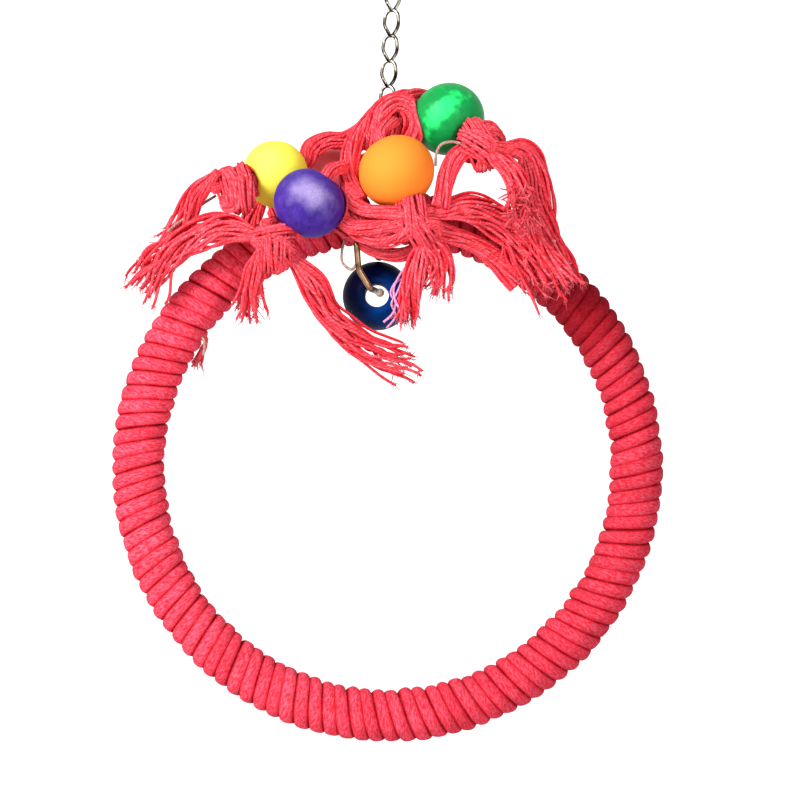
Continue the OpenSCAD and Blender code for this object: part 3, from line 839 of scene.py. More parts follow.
@dataclass(frozen=True)
class Bead:
    """A bead on a tie or the hook: its middle, the way of its hole and its finish.

    The highlight is a painted highlight: a paler place round the point of the ball that its
    highlight way points at.
    """

    colour: str
    diameter: float
    at: tuple[float, float, float]
    way: tuple[float, float, float]
    finish: str
    body: str
    # Where the painted highlight lies: the way from the bead's middle, its long way, and its half
    # length and half width in bead radii
    highlight_way: tuple[float, float, float] = (-0.3, -0.9, 0.3)
    highlight_along: tuple[float, float, float] = (1.0, 0.0, 0.0)
    highlight_size: tuple[float, float] = (0.8, 0.8)
    bore: float = 6.3
    length_share: float = 0.86
    mouth_r: float = 0.6
    end_ring: float = 1.6
    sides: int = 96

    @property
    def half(self) -> float:
        """Half the length between the bead's flat ends."""
        return self.diameter * self.length_share / 2

    def build(self, material: bpy.types.Material) -> bpy.types.Object:
        """The turned bead: a profile spun round the way of its hole.

        The profile runs up the hole, round a small rounded mouth, over the ball, an oval that is
        full at the diameter and meets the flat ends, and back through the other mouth.

        Args:
            material: the bead's material.

        Returns:
            The object.
        """
        r, bore, edge = self.diameter / 2, self.bore / 2, self.mouth_r
        flat = bore + edge + self.end_ring
        oval = self.half / math.sqrt(1 - (flat / r) ** 2)
        mouth = np.linspace(0, math.pi / 2, 5)
        up = np.stack([-self.half + edge - edge * np.sin(mouth),
                       bore + edge - edge * np.cos(mouth)], 1)
        flat_end = np.array([[-self.half, bore + edge + 0.5 * (flat - bore - edge)]])
        polar = np.linspace(math.acos(self.half / oval), math.pi / 2, 40)
        ball = np.stack([-oval * np.cos(polar), r * np.sin(polar)], 1)
        left = np.concatenate([up, flat_end, ball])
        half_profile = np.concatenate([[[0.0, bore], [-self.half / 2, bore]], left])
        right = (half_profile * [-1, 1])[-2:0:-1]
        profile = np.concatenate([half_profile, right])
        turn = 2 * np.pi * np.arange(self.sides) / self.sides
        x = unit(np.asarray(self.way, float))
        y = unit(np.cross([0.1, 0.3, 1.0], x))
        z = np.cross(x, y)
        local = np.stack([np.broadcast_to(profile[:, :1], (len(profile), self.sides)),
                          profile[:, 1:] * np.cos(turn), profile[:, 1:] * np.sin(turn)], -1)
        rings = hung(self.at) + local @ np.stack([x, y, z])
        mesh = Mesh(f"turned_bead_{self.colour}")
        run = np.linalg.norm(np.diff(profile, axis=0), axis=1)
        run = np.concatenate([[0], np.cumsum(run)])[None]
        mesh.add_tubes(rings[None], run, closed=True)
        piece = mesh.build(material)
        data = piece.data
        places = data.attributes.new("bead_place", "FLOAT_VECTOR", "POINT")
        places.data.foreach_set("vector", local.reshape(-1, 3).astype(np.float32).ravel())
        # How deep each point lies in the painted highlight
        near = data.attributes.new("painted_highlight", "FLOAT", "POINT")
        near.data.foreach_set("value", self._highlight(rings).astype(np.float32).ravel())
        return piece

    def _highlight(self, points: np.ndarray) -> np.ndarray:
        """How deep in the painted highlight each point lies.

        With a and b as the point's places along and across the painted highlight, in bead radii
        from its middle, the value is the exponential of minus (a over half the length) squared
        minus (b over half the width) squared.

        Args:
            points: points of the bead, from the origin.

        Returns:
            Values from 0 to 1.
        """
        way = unit(np.asarray(self.highlight_way, float))
        along = np.asarray(self.highlight_along, float)
        along = unit(along - (along @ way) * way)
        from_middle = (points - hung(self.at)) / (self.diameter / 2) - way
        a = from_middle @ along / self.highlight_size[0]
        b = from_middle @ np.cross(way, along) / self.highlight_size[1]
        return np.exp(-a**2 - b**2) * ((from_middle + way) @ way > 0)


# PURPLE, GREEN and BLUE give the way, long way and size of their painted highlight; the others
# face it up, left and to the front. BLUE's lies on its right side.
YELLOW = Bead("yellow", 24.2, (-39, -3, 3.6), (0.76, 0.58, 0.3), "yellow_paint", "bead_yellow")
PURPLE = Bead("purple", 25.5, (-25.5, -22.4, -7.8), (0.5, 0, 0.87), "purple_stain",
              "bead_purple", (0.04, -0.95, 0.25), (1, 0, -0.45), (0.62, 0.4))
ORANGE = Bead("orange", 27.2, (4.8, -19.6, 5.3), (0.48, -0.16, -0.86), "orange_paint",
              "bead_orange")
GREEN = Bead("green", 26.5, (22.4, -6, 26.4), (0.52, -0.64, -0.57), "green_stain", "bead_green",
             (-0.2, -0.95, 0.16), (0.66, 0, 0.75), (0.72, 0.24))
RED = Bead("red", 24.5, (-21, 18.4, 4.6), (-0.8, 0.45, -0.4), "red_paint", "bead_red")
BLUE = Bead("blue", 25.0, (0, 0, -38.4), (0, 1, 0), "blue_stain", "bead_blue", (0.62, -0.75, -0.2),
            (0.3, 0, 1), (0.95, 0.85), bore=8.6)
BEADS = (YELLOW, PURPLE, ORANGE, GREEN, RED, BLUE)


def keep_off(points: np.ndarray, clear: float, own: Sequence[Bead] = ()) -> np.ndarray:
    """Yarn points moved out of the ring and the beads.

    A point nearer than the ring's section radius to the ring's middle circle is moved straight
    away from that circle, and one inside a bead straight away from its middle.

    Args:
        points: points from the origin, in millimetres.
        clear: free space that is kept, with the yarn's own radius.
        own: beads that the yarns run through.

    Returns:
        The moved points.
    """
    out = points.copy()
    middle = np.asarray(RING_MIDDLE)
    passes = 3
    for _ in range(passes):
        from_middle = out - middle
        flat = from_middle * [1, 0, 1]
        foot = middle + unit(flat) * (RING_R - TUBE_R)
        away = out - foot
        gap = np.linalg.norm(away, axis=-1, keepdims=True)
        out = np.where(gap < TUBE_R + clear, foot + unit(away) * (TUBE_R + clear), out)
        for bead in BEADS:
            if bead in own:
                continue
            centre = hung(bead.at)
            away = out - centre
            gap = np.linalg.norm(away, axis=-1, keepdims=True)
            need = bead.diameter / 2 + clear
            out = np.where(gap < need, centre + unit(away) * need, out)
    return out


@dataclass
class YarnBundle:
    """Yarns side by side along one line, packed in an oval that changes on the way."""

    name: str
    line: np.ndarray
    facing: np.ndarray
    half_width: np.ndarray
    half_depth: np.ndarray
    yarns: int = 30
    yarn_r: float = 0.56
    twist_run: float = 140.0
    seed: int = 1
    own: tuple[Bead, ...] = ()
    filled: float = 0.93
    wander: float = 0.12
    wander_run: tuple[float, float] = (18, 40)

    def __post_init__(self) -> None:
        """Works out the bundle's frame: along, across and outwards."""
        self.rng = np.random.default_rng(self.seed)
        along = unit(np.gradient(self.line, axis=0))
        square = self.facing - (self.facing * along).sum(-1, keepdims=True) * along
        square = blur(square, 10)
        square = unit(square - (square * along).sum(-1, keepdims=True) * along)
        self.along, self.outward = along, square
        self.across = np.cross(along, square)
        step = np.linalg.norm(np.diff(self.line, axis=0), axis=1)
        self.run = np.concatenate([[0], np.cumsum(step)])

    def places(self) -> tuple[np.ndarray, np.ndarray]:
        """Places of the yarns in the oval at each step, as shares of its half sizes.

        Yarn j lies at the root of (j + 1/2) over the count, turned by j golden angles. The oval
        turns once in its twist run, and each yarn wanders a little.

        Returns:
            Shares across and outwards, each shaped yarns by steps.
        """
        j = np.arange(self.yarns)
        reach = np.sqrt((j + 0.5) / self.yarns) * self.filled
        turn = j[:, None] * GOLDEN_ANGLE + 2 * np.pi * self.run / self.twist_run
        phase = self.rng.uniform(0, 2 * np.pi, (2, self.yarns, 1))
        wave = self.rng.uniform(*self.wander_run, (2, self.yarns, 1))
        drift = self.wander * np.sin(2 * np.pi * self.run / wave + phase)
        return reach[:, None] * np.cos(turn) + drift[0], reach[:, None] * np.sin(turn) + drift[1]

    def yarn_lines(self) -> tuple[np.ndarray, np.ndarray]:
        """Lines of the yarns.

        A yarn lies at the bundle's line plus its shares times the oval's half sizes.

        Returns:
            The lines, shaped yarns by steps by 3, and how far out of the bundle each step lies,
            from -1 to 1.
        """
        a, b = self.places()
        width = np.maximum(self.half_width - self.yarn_r, 0.3)
        depth = np.maximum(self.half_depth - self.yarn_r, 0.3)
        lines = (self.line + (width * a)[..., None] * self.across
                 + (depth * b)[..., None] * self.outward)
        return lines, b

    def radii(self) -> np.ndarray:
        """Yarn radius at each step, less where the oval is too small for the yarns.

        It is at most the root of the oval's share of area that one yarn has.

        Returns:
            One radius a step.
        """
        room = self.half_width * self.half_depth * 0.86 / self.yarns
        return np.minimum(self.yarn_r, np.sqrt(room))

    def add_yarns(self, mesh: Mesh, lines: np.ndarray, out: np.ndarray,
                  radii: np.ndarray, sides: int = 7) -> None:
        """Adds the yarns' tubes with their rise, which sets painted light, and tone.

        Args:
            mesh: the mesh that they join.
            lines: yarns by steps by 3.
            out: how far out each step lies, from -1 to 1.
            radii: yarns by steps.
            sides: sides of a tube.
        """
        side = np.broadcast_to(self.across, lines.shape)
        rings = tube_rings(lines, side, radii, sides)
        centre = self.line[None, :, None]
        way = unit(rings - lines[:, :, None])
        from_middle = unit(rings - centre)
        # Painted light: sides facing out of the bundle and its outer yarns are marked high for a
        # painted highlight, those towards its middle low for painted shade.
        rise = 0.5 + 0.3 * (way * from_middle).sum(-1) + 0.25 * np.abs(out)[..., None]
        tone = self.rng.uniform(0.1, 1.0, (len(lines), 1))
        run = np.broadcast_to(self.run, lines.shape[:2])
        start = self.rng.uniform(0, 400, (len(lines), 1))
        mesh.add_tubes(rings, run + start, rise=np.clip(rise, 0, 1),
                       tone=np.broadcast_to(tone, lines.shape[:2]))

    def add_fuzz(self, mesh: Mesh, lines: np.ndarray, count: int) -> None:
        """Adds loose fibres along the yarns.

        Args:
            mesh: the mesh that they join.
            lines: the yarns, shaped yarns by steps by 3.
            count: how many there are.
        """
        yarn = self.rng.integers(0, len(lines), count)
        step = self.rng.integers(1, lines.shape[1] - 1, count)
        ways = unit(self.rng.normal(size=(count, 3)) + 0.8 * self.outward[step])
        add_hairs(mesh, lines[yarn, step], ways, self.rng.uniform(0.8, 2.2, count),
                  thickness=0.1, rng=self.rng, tone=1.2)


@dataclass
class Tassel:
    """The frayed end of a tie: a bundle that opens out, with yarns of uneven length.

    The node is the solid that it stands in for, or empty for yarns that the tie's solid holds.
    """

    name: str
    node: str
    route: Points
    half_width: float
    half_depth: float
    seed: int
    yarns: int = 24
    start: float = 2.1
    facing: Facing = Facing.FRONT
    spread: float = 2.6
    tuck: float = 6.0
    open_at: float = 0.3
    loose_at: float = 0.3
    ripple: float = 0.7
    ripple_run: tuple[float, float] = (12, 30)
    shortest: float = 0.84
    spacing: float = 0.9
    fibres: int = 140
    frayed: int = 5
    curls: int = 0

    def build(self, material: bpy.types.Material) -> bpy.types.Object:
        """The tassel's mesh.

        The oval opens from its size at the knot to the full size, each yarn then leaves the bundle
        by its own drift times the square of its share of the length, and ends in fine fibres.

        Args:
            material: the yarn's material.

        Returns:
            The object.
        """
        route = hung(self.route)
        back = route[0] - self.tuck * unit(route[1] - route[0])
        line, _ = smooth_line(np.concatenate([[back], route]), self.spacing)
        share = np.linspace(0, 1, len(line))
        grow = np.clip(share / self.open_at, 0, 1)
        grow = grow * grow * (3 - 2 * grow)
        facing = np.broadcast_to(np.array(self.facing.value), line.shape)
        bundle = YarnBundle(self.name, line, facing,
                            self.start + (self.half_width - self.start) * grow,
                            self.start + (self.half_depth - self.start) * grow,
                            yarns=self.yarns, twist_run=200.0, seed=self.seed)
        lines, out = bundle.yarn_lines()
        rng = bundle.rng
        drift = rng.normal(0, 1, (self.yarns, 1, 3)) * [1, 0.5, 1] * self.spread
        loose = np.clip((share - self.loose_at) / (1 - self.loose_at), 0, 1)[None, :, None]
        wave = rng.uniform(*self.ripple_run, (self.yarns, 1, 1))
        phase = rng.uniform(0, 2 * np.pi, (self.yarns, 1, 3))
        ripple = self.ripple * np.sin(2 * np.pi * bundle.run[None, :, None] / wave + phase)
        lines = lines + loose**2 * drift + loose * ripple
        ends = rng.uniform(self.shortest, 1.0, self.yarns)
        lines = self._shortened(lines, ends)
        settled = np.concatenate([lines[:, :3], keep_off(lines[:, 3:], bundle.yarn_r + 0.2)], 1)
        lines[:, 1:-1] = 0.5 * settled[:, 1:-1] + 0.25 * (settled[:, :-2] + settled[:, 2:])
        lines[:, -1] = settled[:, -1]
        radii = np.broadcast_to(bundle.radii(), lines.shape[:2]).copy()
        radii[:, -4:] *= np.linspace(1, 0.7, 4)
        mesh = Mesh(self.name)
        bundle.add_yarns(mesh, lines, out, radii)
        bundle.add_fuzz(mesh, lines, self.fibres)
        self._fray(mesh, lines, rng)
        if self.curls:
            self._curl(mesh, lines, rng)
        return mesh.build(material)

    def _curl(self, mesh: Mesh, lines: np.ndarray, rng: np.random.Generator) -> None:
        """Adds short thick ends that curl out of the last third of the yarns.

        Args:
            mesh: the mesh that they join.
            lines: the yarns, shaped yarns by steps by 3.
            rng: source of their places and ways.
        """
        yarn = rng.integers(0, len(lines), self.curls)
        step = rng.integers(int(0.62 * lines.shape[1]), lines.shape[1] - 1, self.curls)
        ways = unit(rng.normal(0, 1, (self.curls, 3)) + [0, -0.7, -0.5])
        add_hairs(mesh, lines[yarn, step], ways, rng.uniform(2.5, 4.6, self.curls),
                  thickness=1.1, rng=rng, tone=0.5)

    @staticmethod
    def _shortened(lines: np.ndarray, ends: np.ndarray) -> np.ndarray:
        """Each line cut to a share of its length and given back the same number of steps.

        Args:
            lines: shaped yarns by steps by 3.
            ends: the share of each yarn that is kept.

        Returns:
            The cut lines.
        """
        last = lines.shape[1] - 1
        at = ends[:, None] * np.linspace(0, last, last + 1)
        low = np.minimum(at.astype(int), last - 1)
        part = (at - low)[..., None]
        rows = np.arange(len(lines))[:, None]
        return lines[rows, low] * (1 - part) + lines[rows, low + 1] * part

    def _fray(self, mesh: Mesh, lines: np.ndarray, rng: np.random.Generator) -> None:
        """Adds the fine fibres that each yarn ends in.

        Args:
            mesh: the mesh that they join.
            lines: the yarns, shaped yarns by steps by 3.
            rng: source of their ways and lengths.
        """
        tips = np.repeat(lines[:, -3], self.frayed, axis=0)
        ways = np.repeat(unit(lines[:, -1] - lines[:, -4]), self.frayed, axis=0)
        ways = unit(ways + rng.normal(0, 0.22, ways.shape))
        add_hairs(mesh, tips, ways, rng.uniform(1.2, 2.8, len(tips)), thickness=0.5, rng=rng,
                  tone=0.9)


TASSELS = (
    Tassel("yarns_right_upper", "tassel_right_upper",
           [[43.4, -25.3, 15], [49.4, -21.8, 14.4], [53.2, -18.5, 8], [55.6, -17, -2],
            [58, -16.5, -13], [63, -16.5, -23.4], [69, -17, -33]], 6.8, 3.2, 11, yarns=36,
           spread=2.0),
    Tassel("yarns_right_lower", "tassel_right_lower",
           [[39.7, -25.4, 12], [45.3, -27.4, 6.2], [48.8, -28, -2.3], [51.2, -27.3, -12]], 5.0,
           2.6, 12, yarns=24, curls=190),
    Tassel("yarns_middle_right", "tassel_middle_right",
           [[20.7, -23, -8.8], [30, -20.5, -6.5], [39, -17, -9], [48, -15.5, -15],
            [56, -15, -26], [62, -15, -37]], 7.6, 3.4, 13, yarns=38, curls=60),
    Tassel("yarns_middle_low", "tassel_middle_low",
           [[15.5, -24.5, -23.1], [13.5, -23.4, -30], [11.6, -21, -39], [10.4, -19, -48]], 4.6,
           2.6, 14, yarns=22),
    Tassel("yarns_middle_stub", "",
           [[18.4, -24.5, -20], [21.5, -24, -24], [22.6, -22.4, -30], [21.6, -20.6, -37.4]], 6.2,
           2.4, 21, yarns=22, spread=1.8),
    Tassel("yarns_left_long", "tassel_left_long",
           [[-46, -21.5, -19.8], [-55, -19.4, -17.8], [-66, -17.2, -21.4], [-77, -15, -30],
            [-86, -13, -41.4]], 8.0, 3.4, 15, yarns=38),
    Tassel("yarns_left_low", "tassel_left_low",
           [[-29.8, -22, -28.3], [-22, -22, -36.5], [-17, -20, -46], [-9, -17, -54],
            [2, -14, -60], [15, -12, -64]], 6.4, 2.8, 16, yarns=30),
    Tassel("yarns_left_short", "tassel_left_short",
           [[-43.2, -22, -31.5], [-45, -20, -41], [-46, -18, -50]], 4.4, 2.4, 17, yarns=18),
    Tassel("yarns_outer_left", "tassel_outer_left",
           [[-62.1, -16.7, -1.8], [-66.5, -12.5, -6.5], [-70.5, -8.5, -15], [-75, -6.5, -27]],
           5.2, 2.6, 18, yarns=24),
    Tassel("yarns_back", "tassel_back",
           [[-46.2, 31.5, -4.2], [-49.4, 31, -12], [-50, 27, -23], [-49, 22, -35],
            [-48, 18, -47]], 5.0, 2.6, 19, yarns=24, facing=Facing.BACK),
    Tassel("rope_tail", "winding_tail",
           [[-63, 1.4, -56], [-62.2, 1.6, -59.6], [-62.8, 1, -63], [-63.8, 0, -66.8]], 1.8,
           1.5, 20, yarns=10, start=1.5, spread=0.8, tuck=2.0),
)


@dataclass(frozen=True)
class Stop:
    """A point of a tie, with the oval that its yarns fill there and where its flat side faces."""

    at: tuple[float, ...]
    half_width: float
    half_depth: float
    facing: tuple[float, ...]


@dataclass
class Wrap:
    """Yarns side by side that go round a lump, as the turns of a knot do.

    The loops lie square to the way across. Their half sizes are along and deep, and shrink
    towards the band's edges, so that the band is crowned.
    """

    middle: np.ndarray
    along: np.ndarray
    across: np.ndarray
    half_long: float
    half_deep: float
    half_band: float
    yarns: int
    yarn_r: float = 0.54

    def add_to(self, mesh: Mesh, rng: np.random.Generator) -> None:
        """Adds the loops. A point is the middle, plus the band's place across, plus the crown
        share times (half length times cos a along, plus half depth times sin a deep).

        Args:
            mesh: the mesh that they join.
            rng: source of their unevenness.
        """
        along = unit(np.asarray(self.along, float))
        across = np.asarray(self.across, float)
        across = unit(across - (across @ along) * along)
        deep = np.cross(across, along)
        place = np.linspace(-1, 1, self.yarns) + rng.normal(0, 0.04, self.yarns)
        steps = 56
        a = 2 * np.pi * np.arange(steps) / steps
        phase = rng.uniform(0, 2 * np.pi, (2, self.yarns, 1))
        crown = np.sqrt(1 - 0.6 * np.clip(np.abs(place), 0, 1) ** 2)[:, None]
        crown = crown * (1 + 0.03 * np.sin(a + phase[0])) + rng.uniform(0, 0.07, (self.yarns, 1))
        shift = self.half_band * place[:, None] + 0.5 * np.sin(a + phase[1])
        lines = (np.asarray(self.middle) + shift[..., None] * across
                 + (crown * self.half_long * np.cos(a))[..., None] * along
                 + (crown * self.half_deep * np.sin(a))[..., None] * deep)
        ahead = unit(np.roll(lines, -1, 1) - np.roll(lines, 1, 1))
        side = np.broadcast_to(across, lines.shape)
        n = unit(side - (side * ahead).sum(-1, keepdims=True) * ahead)
        b = np.cross(ahead, n)
        turn = 2 * np.pi * np.arange(7) / 7
        rings = lines[:, :, None] + self.yarn_r * (np.cos(turn)[:, None] * n[:, :, None]
                                                   + np.sin(turn)[:, None] * b[:, :, None])
        out = unit(rings - np.asarray(self.middle))
        # Painted light: sides of a loop that face away from the knot's middle are marked high for
        # a painted highlight, those that face into it low for painted shade.
        rise = 0.45 + 0.5 * (unit(rings - lines[:, :, None]) * out).sum(-1)
        step = np.linalg.norm(lines[:, 1] - lines[:, 0], axis=-1)[:, None]
        run = step * np.arange(steps) + rng.uniform(0, 400, (self.yarns, 1))
        tone = np.broadcast_to(rng.uniform(0.1, 1, (self.yarns, 1)), run.shape)
        mesh.add_tubes(rings, run, closed=True, rise=np.clip(rise, 0, 1), tone=tone)


@dataclass(frozen=True)
class StrayThreads:
    """Single threads that have worked loose, each a thin tube along its own line."""

    name: str
    routes: tuple[Points, ...]
    radius: float
    seed: int

    def build(self, material: bpy.types.Material) -> bpy.types.Object:
        """The threads' mesh.

        Args:
            material: their material.

        Returns:
            The object.
        """
        rng = np.random.default_rng(self.seed)
        mesh = Mesh(self.name)
        spacing = 0.5
        for route in self.routes:
            line = smooth_line(hung(route), spacing)[0][None]
            side = np.broadcast_to(np.array([0.3, 1.0, 0.2]), line.shape)
            radii = self.radius * (1 + 0.12 * rng.normal(size=line.shape[:2]))
            run = spacing * np.arange(line.shape[1])[None]
            # Painted light: each thread is marked as partly raised, so its streaks take some of
            # the crown colour's painted highlight.
            mesh.add_tubes(tube_rings(line, side, blur(radii[0], 3)[None], 8), run,
                           rise=np.full_like(run, 0.7), tone=np.full_like(run, 0.8))
        return mesh.build(material)


BARE_THREADS = StrayThreads("bare_threads", (
    [[27.3, -24, 15.9], [23.7, -25, 16.3], [19.9, -25, 15], [18.6, -24, 12.2], [18.5, -22, 7.9]],
    [[-59.7, -8, -5.7], [-63.5, -9, -8.5], [-68.5, -10, -13.2], [-73.4, -10, -17],
     [-76.2, -9, -19.6]],
    [[-12.4, -14, -19.3], [-13.2, -16, -23.8], [-12.6, -17, -28.1], [-9.3, -17, -30.1],
     [-7.7, -16, -27.8], [-7.9, -15, -23.4]],
    [[-62.6, -4, -56.4], [-61.2, -6, -58.4], [-61, -7, -60.6], [-61.4, -7, -63.4]]), 0.5, 51)
FADED_THREADS = StrayThreads("faded_threads", (
    [[11.5, -21, -27], [9.5, -20, -32], [6.6, -19, -34], [5, -18, -37.9], [7, -19, -41.5],
     [6.1, -18, -45], [3, -17, -48.3]],
    [[12.4, -20, -25.5], [10.1, -19, -29.9], [8.6, -20, -34], [7.1, -20, -38], [5.5, -19, -41.5],
     [7.2, -18, -45.7], [4.2, -17, -50.4]],
    [[11, -22, -27], [8.2, -21, -30.9], [6.9, -20, -33.4], [6, -19, -36.2], [6.5, -20, -39.8],
     [8.1, -21, -43]]), 0.42, 52)

# A knot: the distance between its strands, the route through it in such distances, in its own
# axes (along the tie, the way that it is widest, and across both), and its gap to the bead. A tie
# runs straight on past a bead's end by the end room
KNOT_PITCH = 4.45
KNOT_HALF_LENGTH = 1.42 * KNOT_PITCH + 2.0
KNOT_GAP = 0.4
BEAD_END_ROOM = 2.4
KNOT_HALF_SHARES = np.array([
    [-2, -0.5, 0], [-1.2, -0.5, 0], [-0.3, -0.5, 0], [0.6, -0.5, 0], [1.25, -0.72, -0.05],
    [1.42, -1.25, -0.3], [0.95, -1.45, -0.75], [0.62, -0.72, -1.08], [0.53, 0.1, -1.1],
    [0.47, 0.85, -1.0], [0.4, 1.4, -0.6], [0.3, 1.52, 0.1], [0.2, 1.25, 0.78], [0.1, 0.66, 1.08]])
KNOT_SHARES = np.concatenate(
    [KNOT_HALF_SHARES, [[0, 0, 1.12]], (KNOT_HALF_SHARES * [-1, -1, 1])[::-1]])


def knot_axes(bead: Bead, wide: Sequence[float]) -> np.ndarray:
    """A knot's own axes: along the bead's hole, the way that it is widest, and across both.

    Args:
        bead: the bead that it holds.
        wide: the rough way that the knot is widest.

    Returns:
        The three unit axes, one in a row.
    """
    x = unit(np.asarray(bead.way, float))
    y = np.asarray(wide, float)
    y = unit(y - (y @ x) * x)
    return np.stack([x, y, np.cross(x, y)])


def knot_middle(bead: Bead, wide: Sequence[float], ahead: int) -> np.ndarray:
    """The middle of a knot's lump, from the ring's top.

    Args:
        bead: the bead that it holds.
        wide: the way that the knot is widest.
        ahead: 1 where the knot comes after the bead along its tie, or -1.

    Returns:
        The point.
    """
    x, y, _ = knot_axes(bead, wide)
    reach = bead.half + KNOT_GAP + KNOT_HALF_LENGTH
    return np.asarray(bead.at) + ahead * (reach * x + KNOT_PITCH / 2 * y)


def knot_stops(bead: Bead, wide: Sequence[float], ahead: int,
               shift: tuple[float, float, float] = (0.0, 0.0, 0.0)) -> list[Stop]:
    """The stops of a knot in line with the bead that it holds.

    Args:
        bead: the bead.
        wide: the way that the knot is widest.
        ahead: 1 where the knot comes after the bead along its tie, or -1.
        shift: how far the yarns have sagged out of line with the hole.

    Returns:
        Stops along the knot. Their flat sides face away from its middle.
    """
    axes = knot_axes(bead, wide)
    points = knot_middle(bead, wide, ahead) + KNOT_PITCH * KNOT_SHARES @ axes + shift
    inner = np.abs(KNOT_SHARES[:, 1:]).sum(1) < 0.6
    out = (KNOT_SHARES * [0.3, 1, 1]) @ axes
    out[inner] = Facing.FRONT.value
    return [Stop(tuple(p), 2.9, 2.3, tuple(unit(o))) for p, o in zip(points, out)]


def bead_stops(bead: Bead, before: bool, after: bool) -> list[Stop]:
    """Stops straight through a bead, and on past the ends that are asked for.

    Args:
        bead: the bead.
        before: whether they start before it.
        after: whether they go on after it.

    Returns:
        The stops.
    """
    u = unit(np.asarray(bead.way, float))
    low = -bead.half - (BEAD_END_ROOM if before else 0)
    high = bead.half + (BEAD_END_ROOM if after else 0)
    return [Stop(tuple(np.asarray(bead.at) + s * u), 2.75, 2.75, Facing.FRONT.value)
            for s in np.linspace(low, high, 7)]


def free_stops(points: Points, half_width: float, half_depth: float) -> list[Stop]:
    """Stops of a free stretch, whose flat side faces the front."""
    return [Stop(tuple(p), half_width, half_depth, Facing.FRONT.value) for p in points]


def link_stop(link: int) -> list[Stop]:
    """The stop where a tie is pulled through a chain link, squeezed between two loops.

    It lies halfway between the upper loop that hangs in the link and the lower one.

    Args:
        link: the link's number, from the top of the chain.

    Returns:
        A list of the one stop.
    """
    top = FIRST_LINK_Z - LINK_PITCH * (link - 1)
    slack, upper_loop = 0.15, 1.95
    lower_loops = {6: -81.75, 7: -90.95, 8: -99.25}
    z = (top - slack - upper_loop + lower_loops[link]) / 2 - RING_TOP_Z
    return [Stop((0.0, 0.0, z), 2.3, 1.45, Facing.SQUEEZED.value)]


@dataclass
class Tie:
    """A rope of parallel yarns, pulled through a chain link and knotted behind its beads."""

    name: str
    node: str
    stops: list[Stop]
    beads: tuple[Bead, ...]
    seed: int
    wraps: tuple[Wrap, ...] = ()
    folds: tuple[tuple[Stop, ...], ...] = ()
    spacing: float = 0.8
    fibres: int = 200

    def build(self, material: bpy.types.Material) -> bpy.types.Object:
        """The tie's mesh.

        Args:
            material: the yarn's material.

        Returns:
            The object.
        """
        mesh = Mesh(self.name)
        self._bundle(mesh, self.stops, self.seed, self.beads)
        for i, fold in enumerate(self.folds):
            self._bundle(mesh, list(fold), self.seed + 10 + i, ())
        rng = np.random.default_rng(self.seed + 5)
        for wrap in self.wraps:
            wrap.add_to(mesh, rng)
        return mesh.build(material)

    def _bundle(self, mesh: Mesh, stops: list[Stop], seed: int, own: tuple[Bead, ...]) -> None:
        """Adds a bundle of yarns through stops, kept off the ring and the other beads.

        Args:
            mesh: the mesh that it joins.
            stops: the stops, in order.
            seed: seed of its unevenness.
            own: beads that it runs through.
        """
        line, index = smooth_line(hung([s.at for s in stops]), self.spacing)
        whole = np.arange(len(stops))
        width = np.interp(index, whole, [s.half_width for s in stops])
        depth = np.interp(index, whole, [s.half_depth for s in stops])
        facing = np.array([s.facing for s in stops])
        facing = np.stack([np.interp(index, whole, facing[:, k]) for k in range(3)], 1)
        bundle = YarnBundle(self.name, line, facing, width, depth, seed=seed, own=own)
        lines, out = bundle.yarn_lines()
        lines = keep_off(lines, bundle.yarn_r + 0.2, own)
        radii = np.broadcast_to(bundle.radii(), lines.shape[:2])
        bundle.add_yarns(mesh, lines, out, radii, sides=6)
        bundle.add_fuzz(mesh, lines, self.fibres)


@dataclass(frozen=True)
class Band:
    """One of a knot's outer bands: which way its yarns run across the front, and its size."""

    way: tuple[float, float, float]
    half_long: float
    half_deep: float
    half_width: float
    yarns: int
    shift: tuple[float, float, float] = (0.0, 0.0, 0.0)


def knot_wraps(bead: Bead, wide: Sequence[float], ahead: int, *bands: Band) -> tuple[Wrap, ...]:
    """The outer turns of a knot.

    Args:
        bead: the bead that the knot holds.
        wide: the way that the knot is widest.
        ahead: 1 where the knot comes after the bead along its tie, or -1.
        bands: its bands, from the lowest to the outermost.

    Returns:
        The turns.
    """
    middle = hung(knot_middle(bead, wide, ahead))
    return tuple(
        Wrap(middle + b.shift, np.array(b.way), np.cross(b.way, (0.0, 1.0, 0.0)), b.half_long,
             b.half_deep, b.half_width, b.yarns) for b in bands)


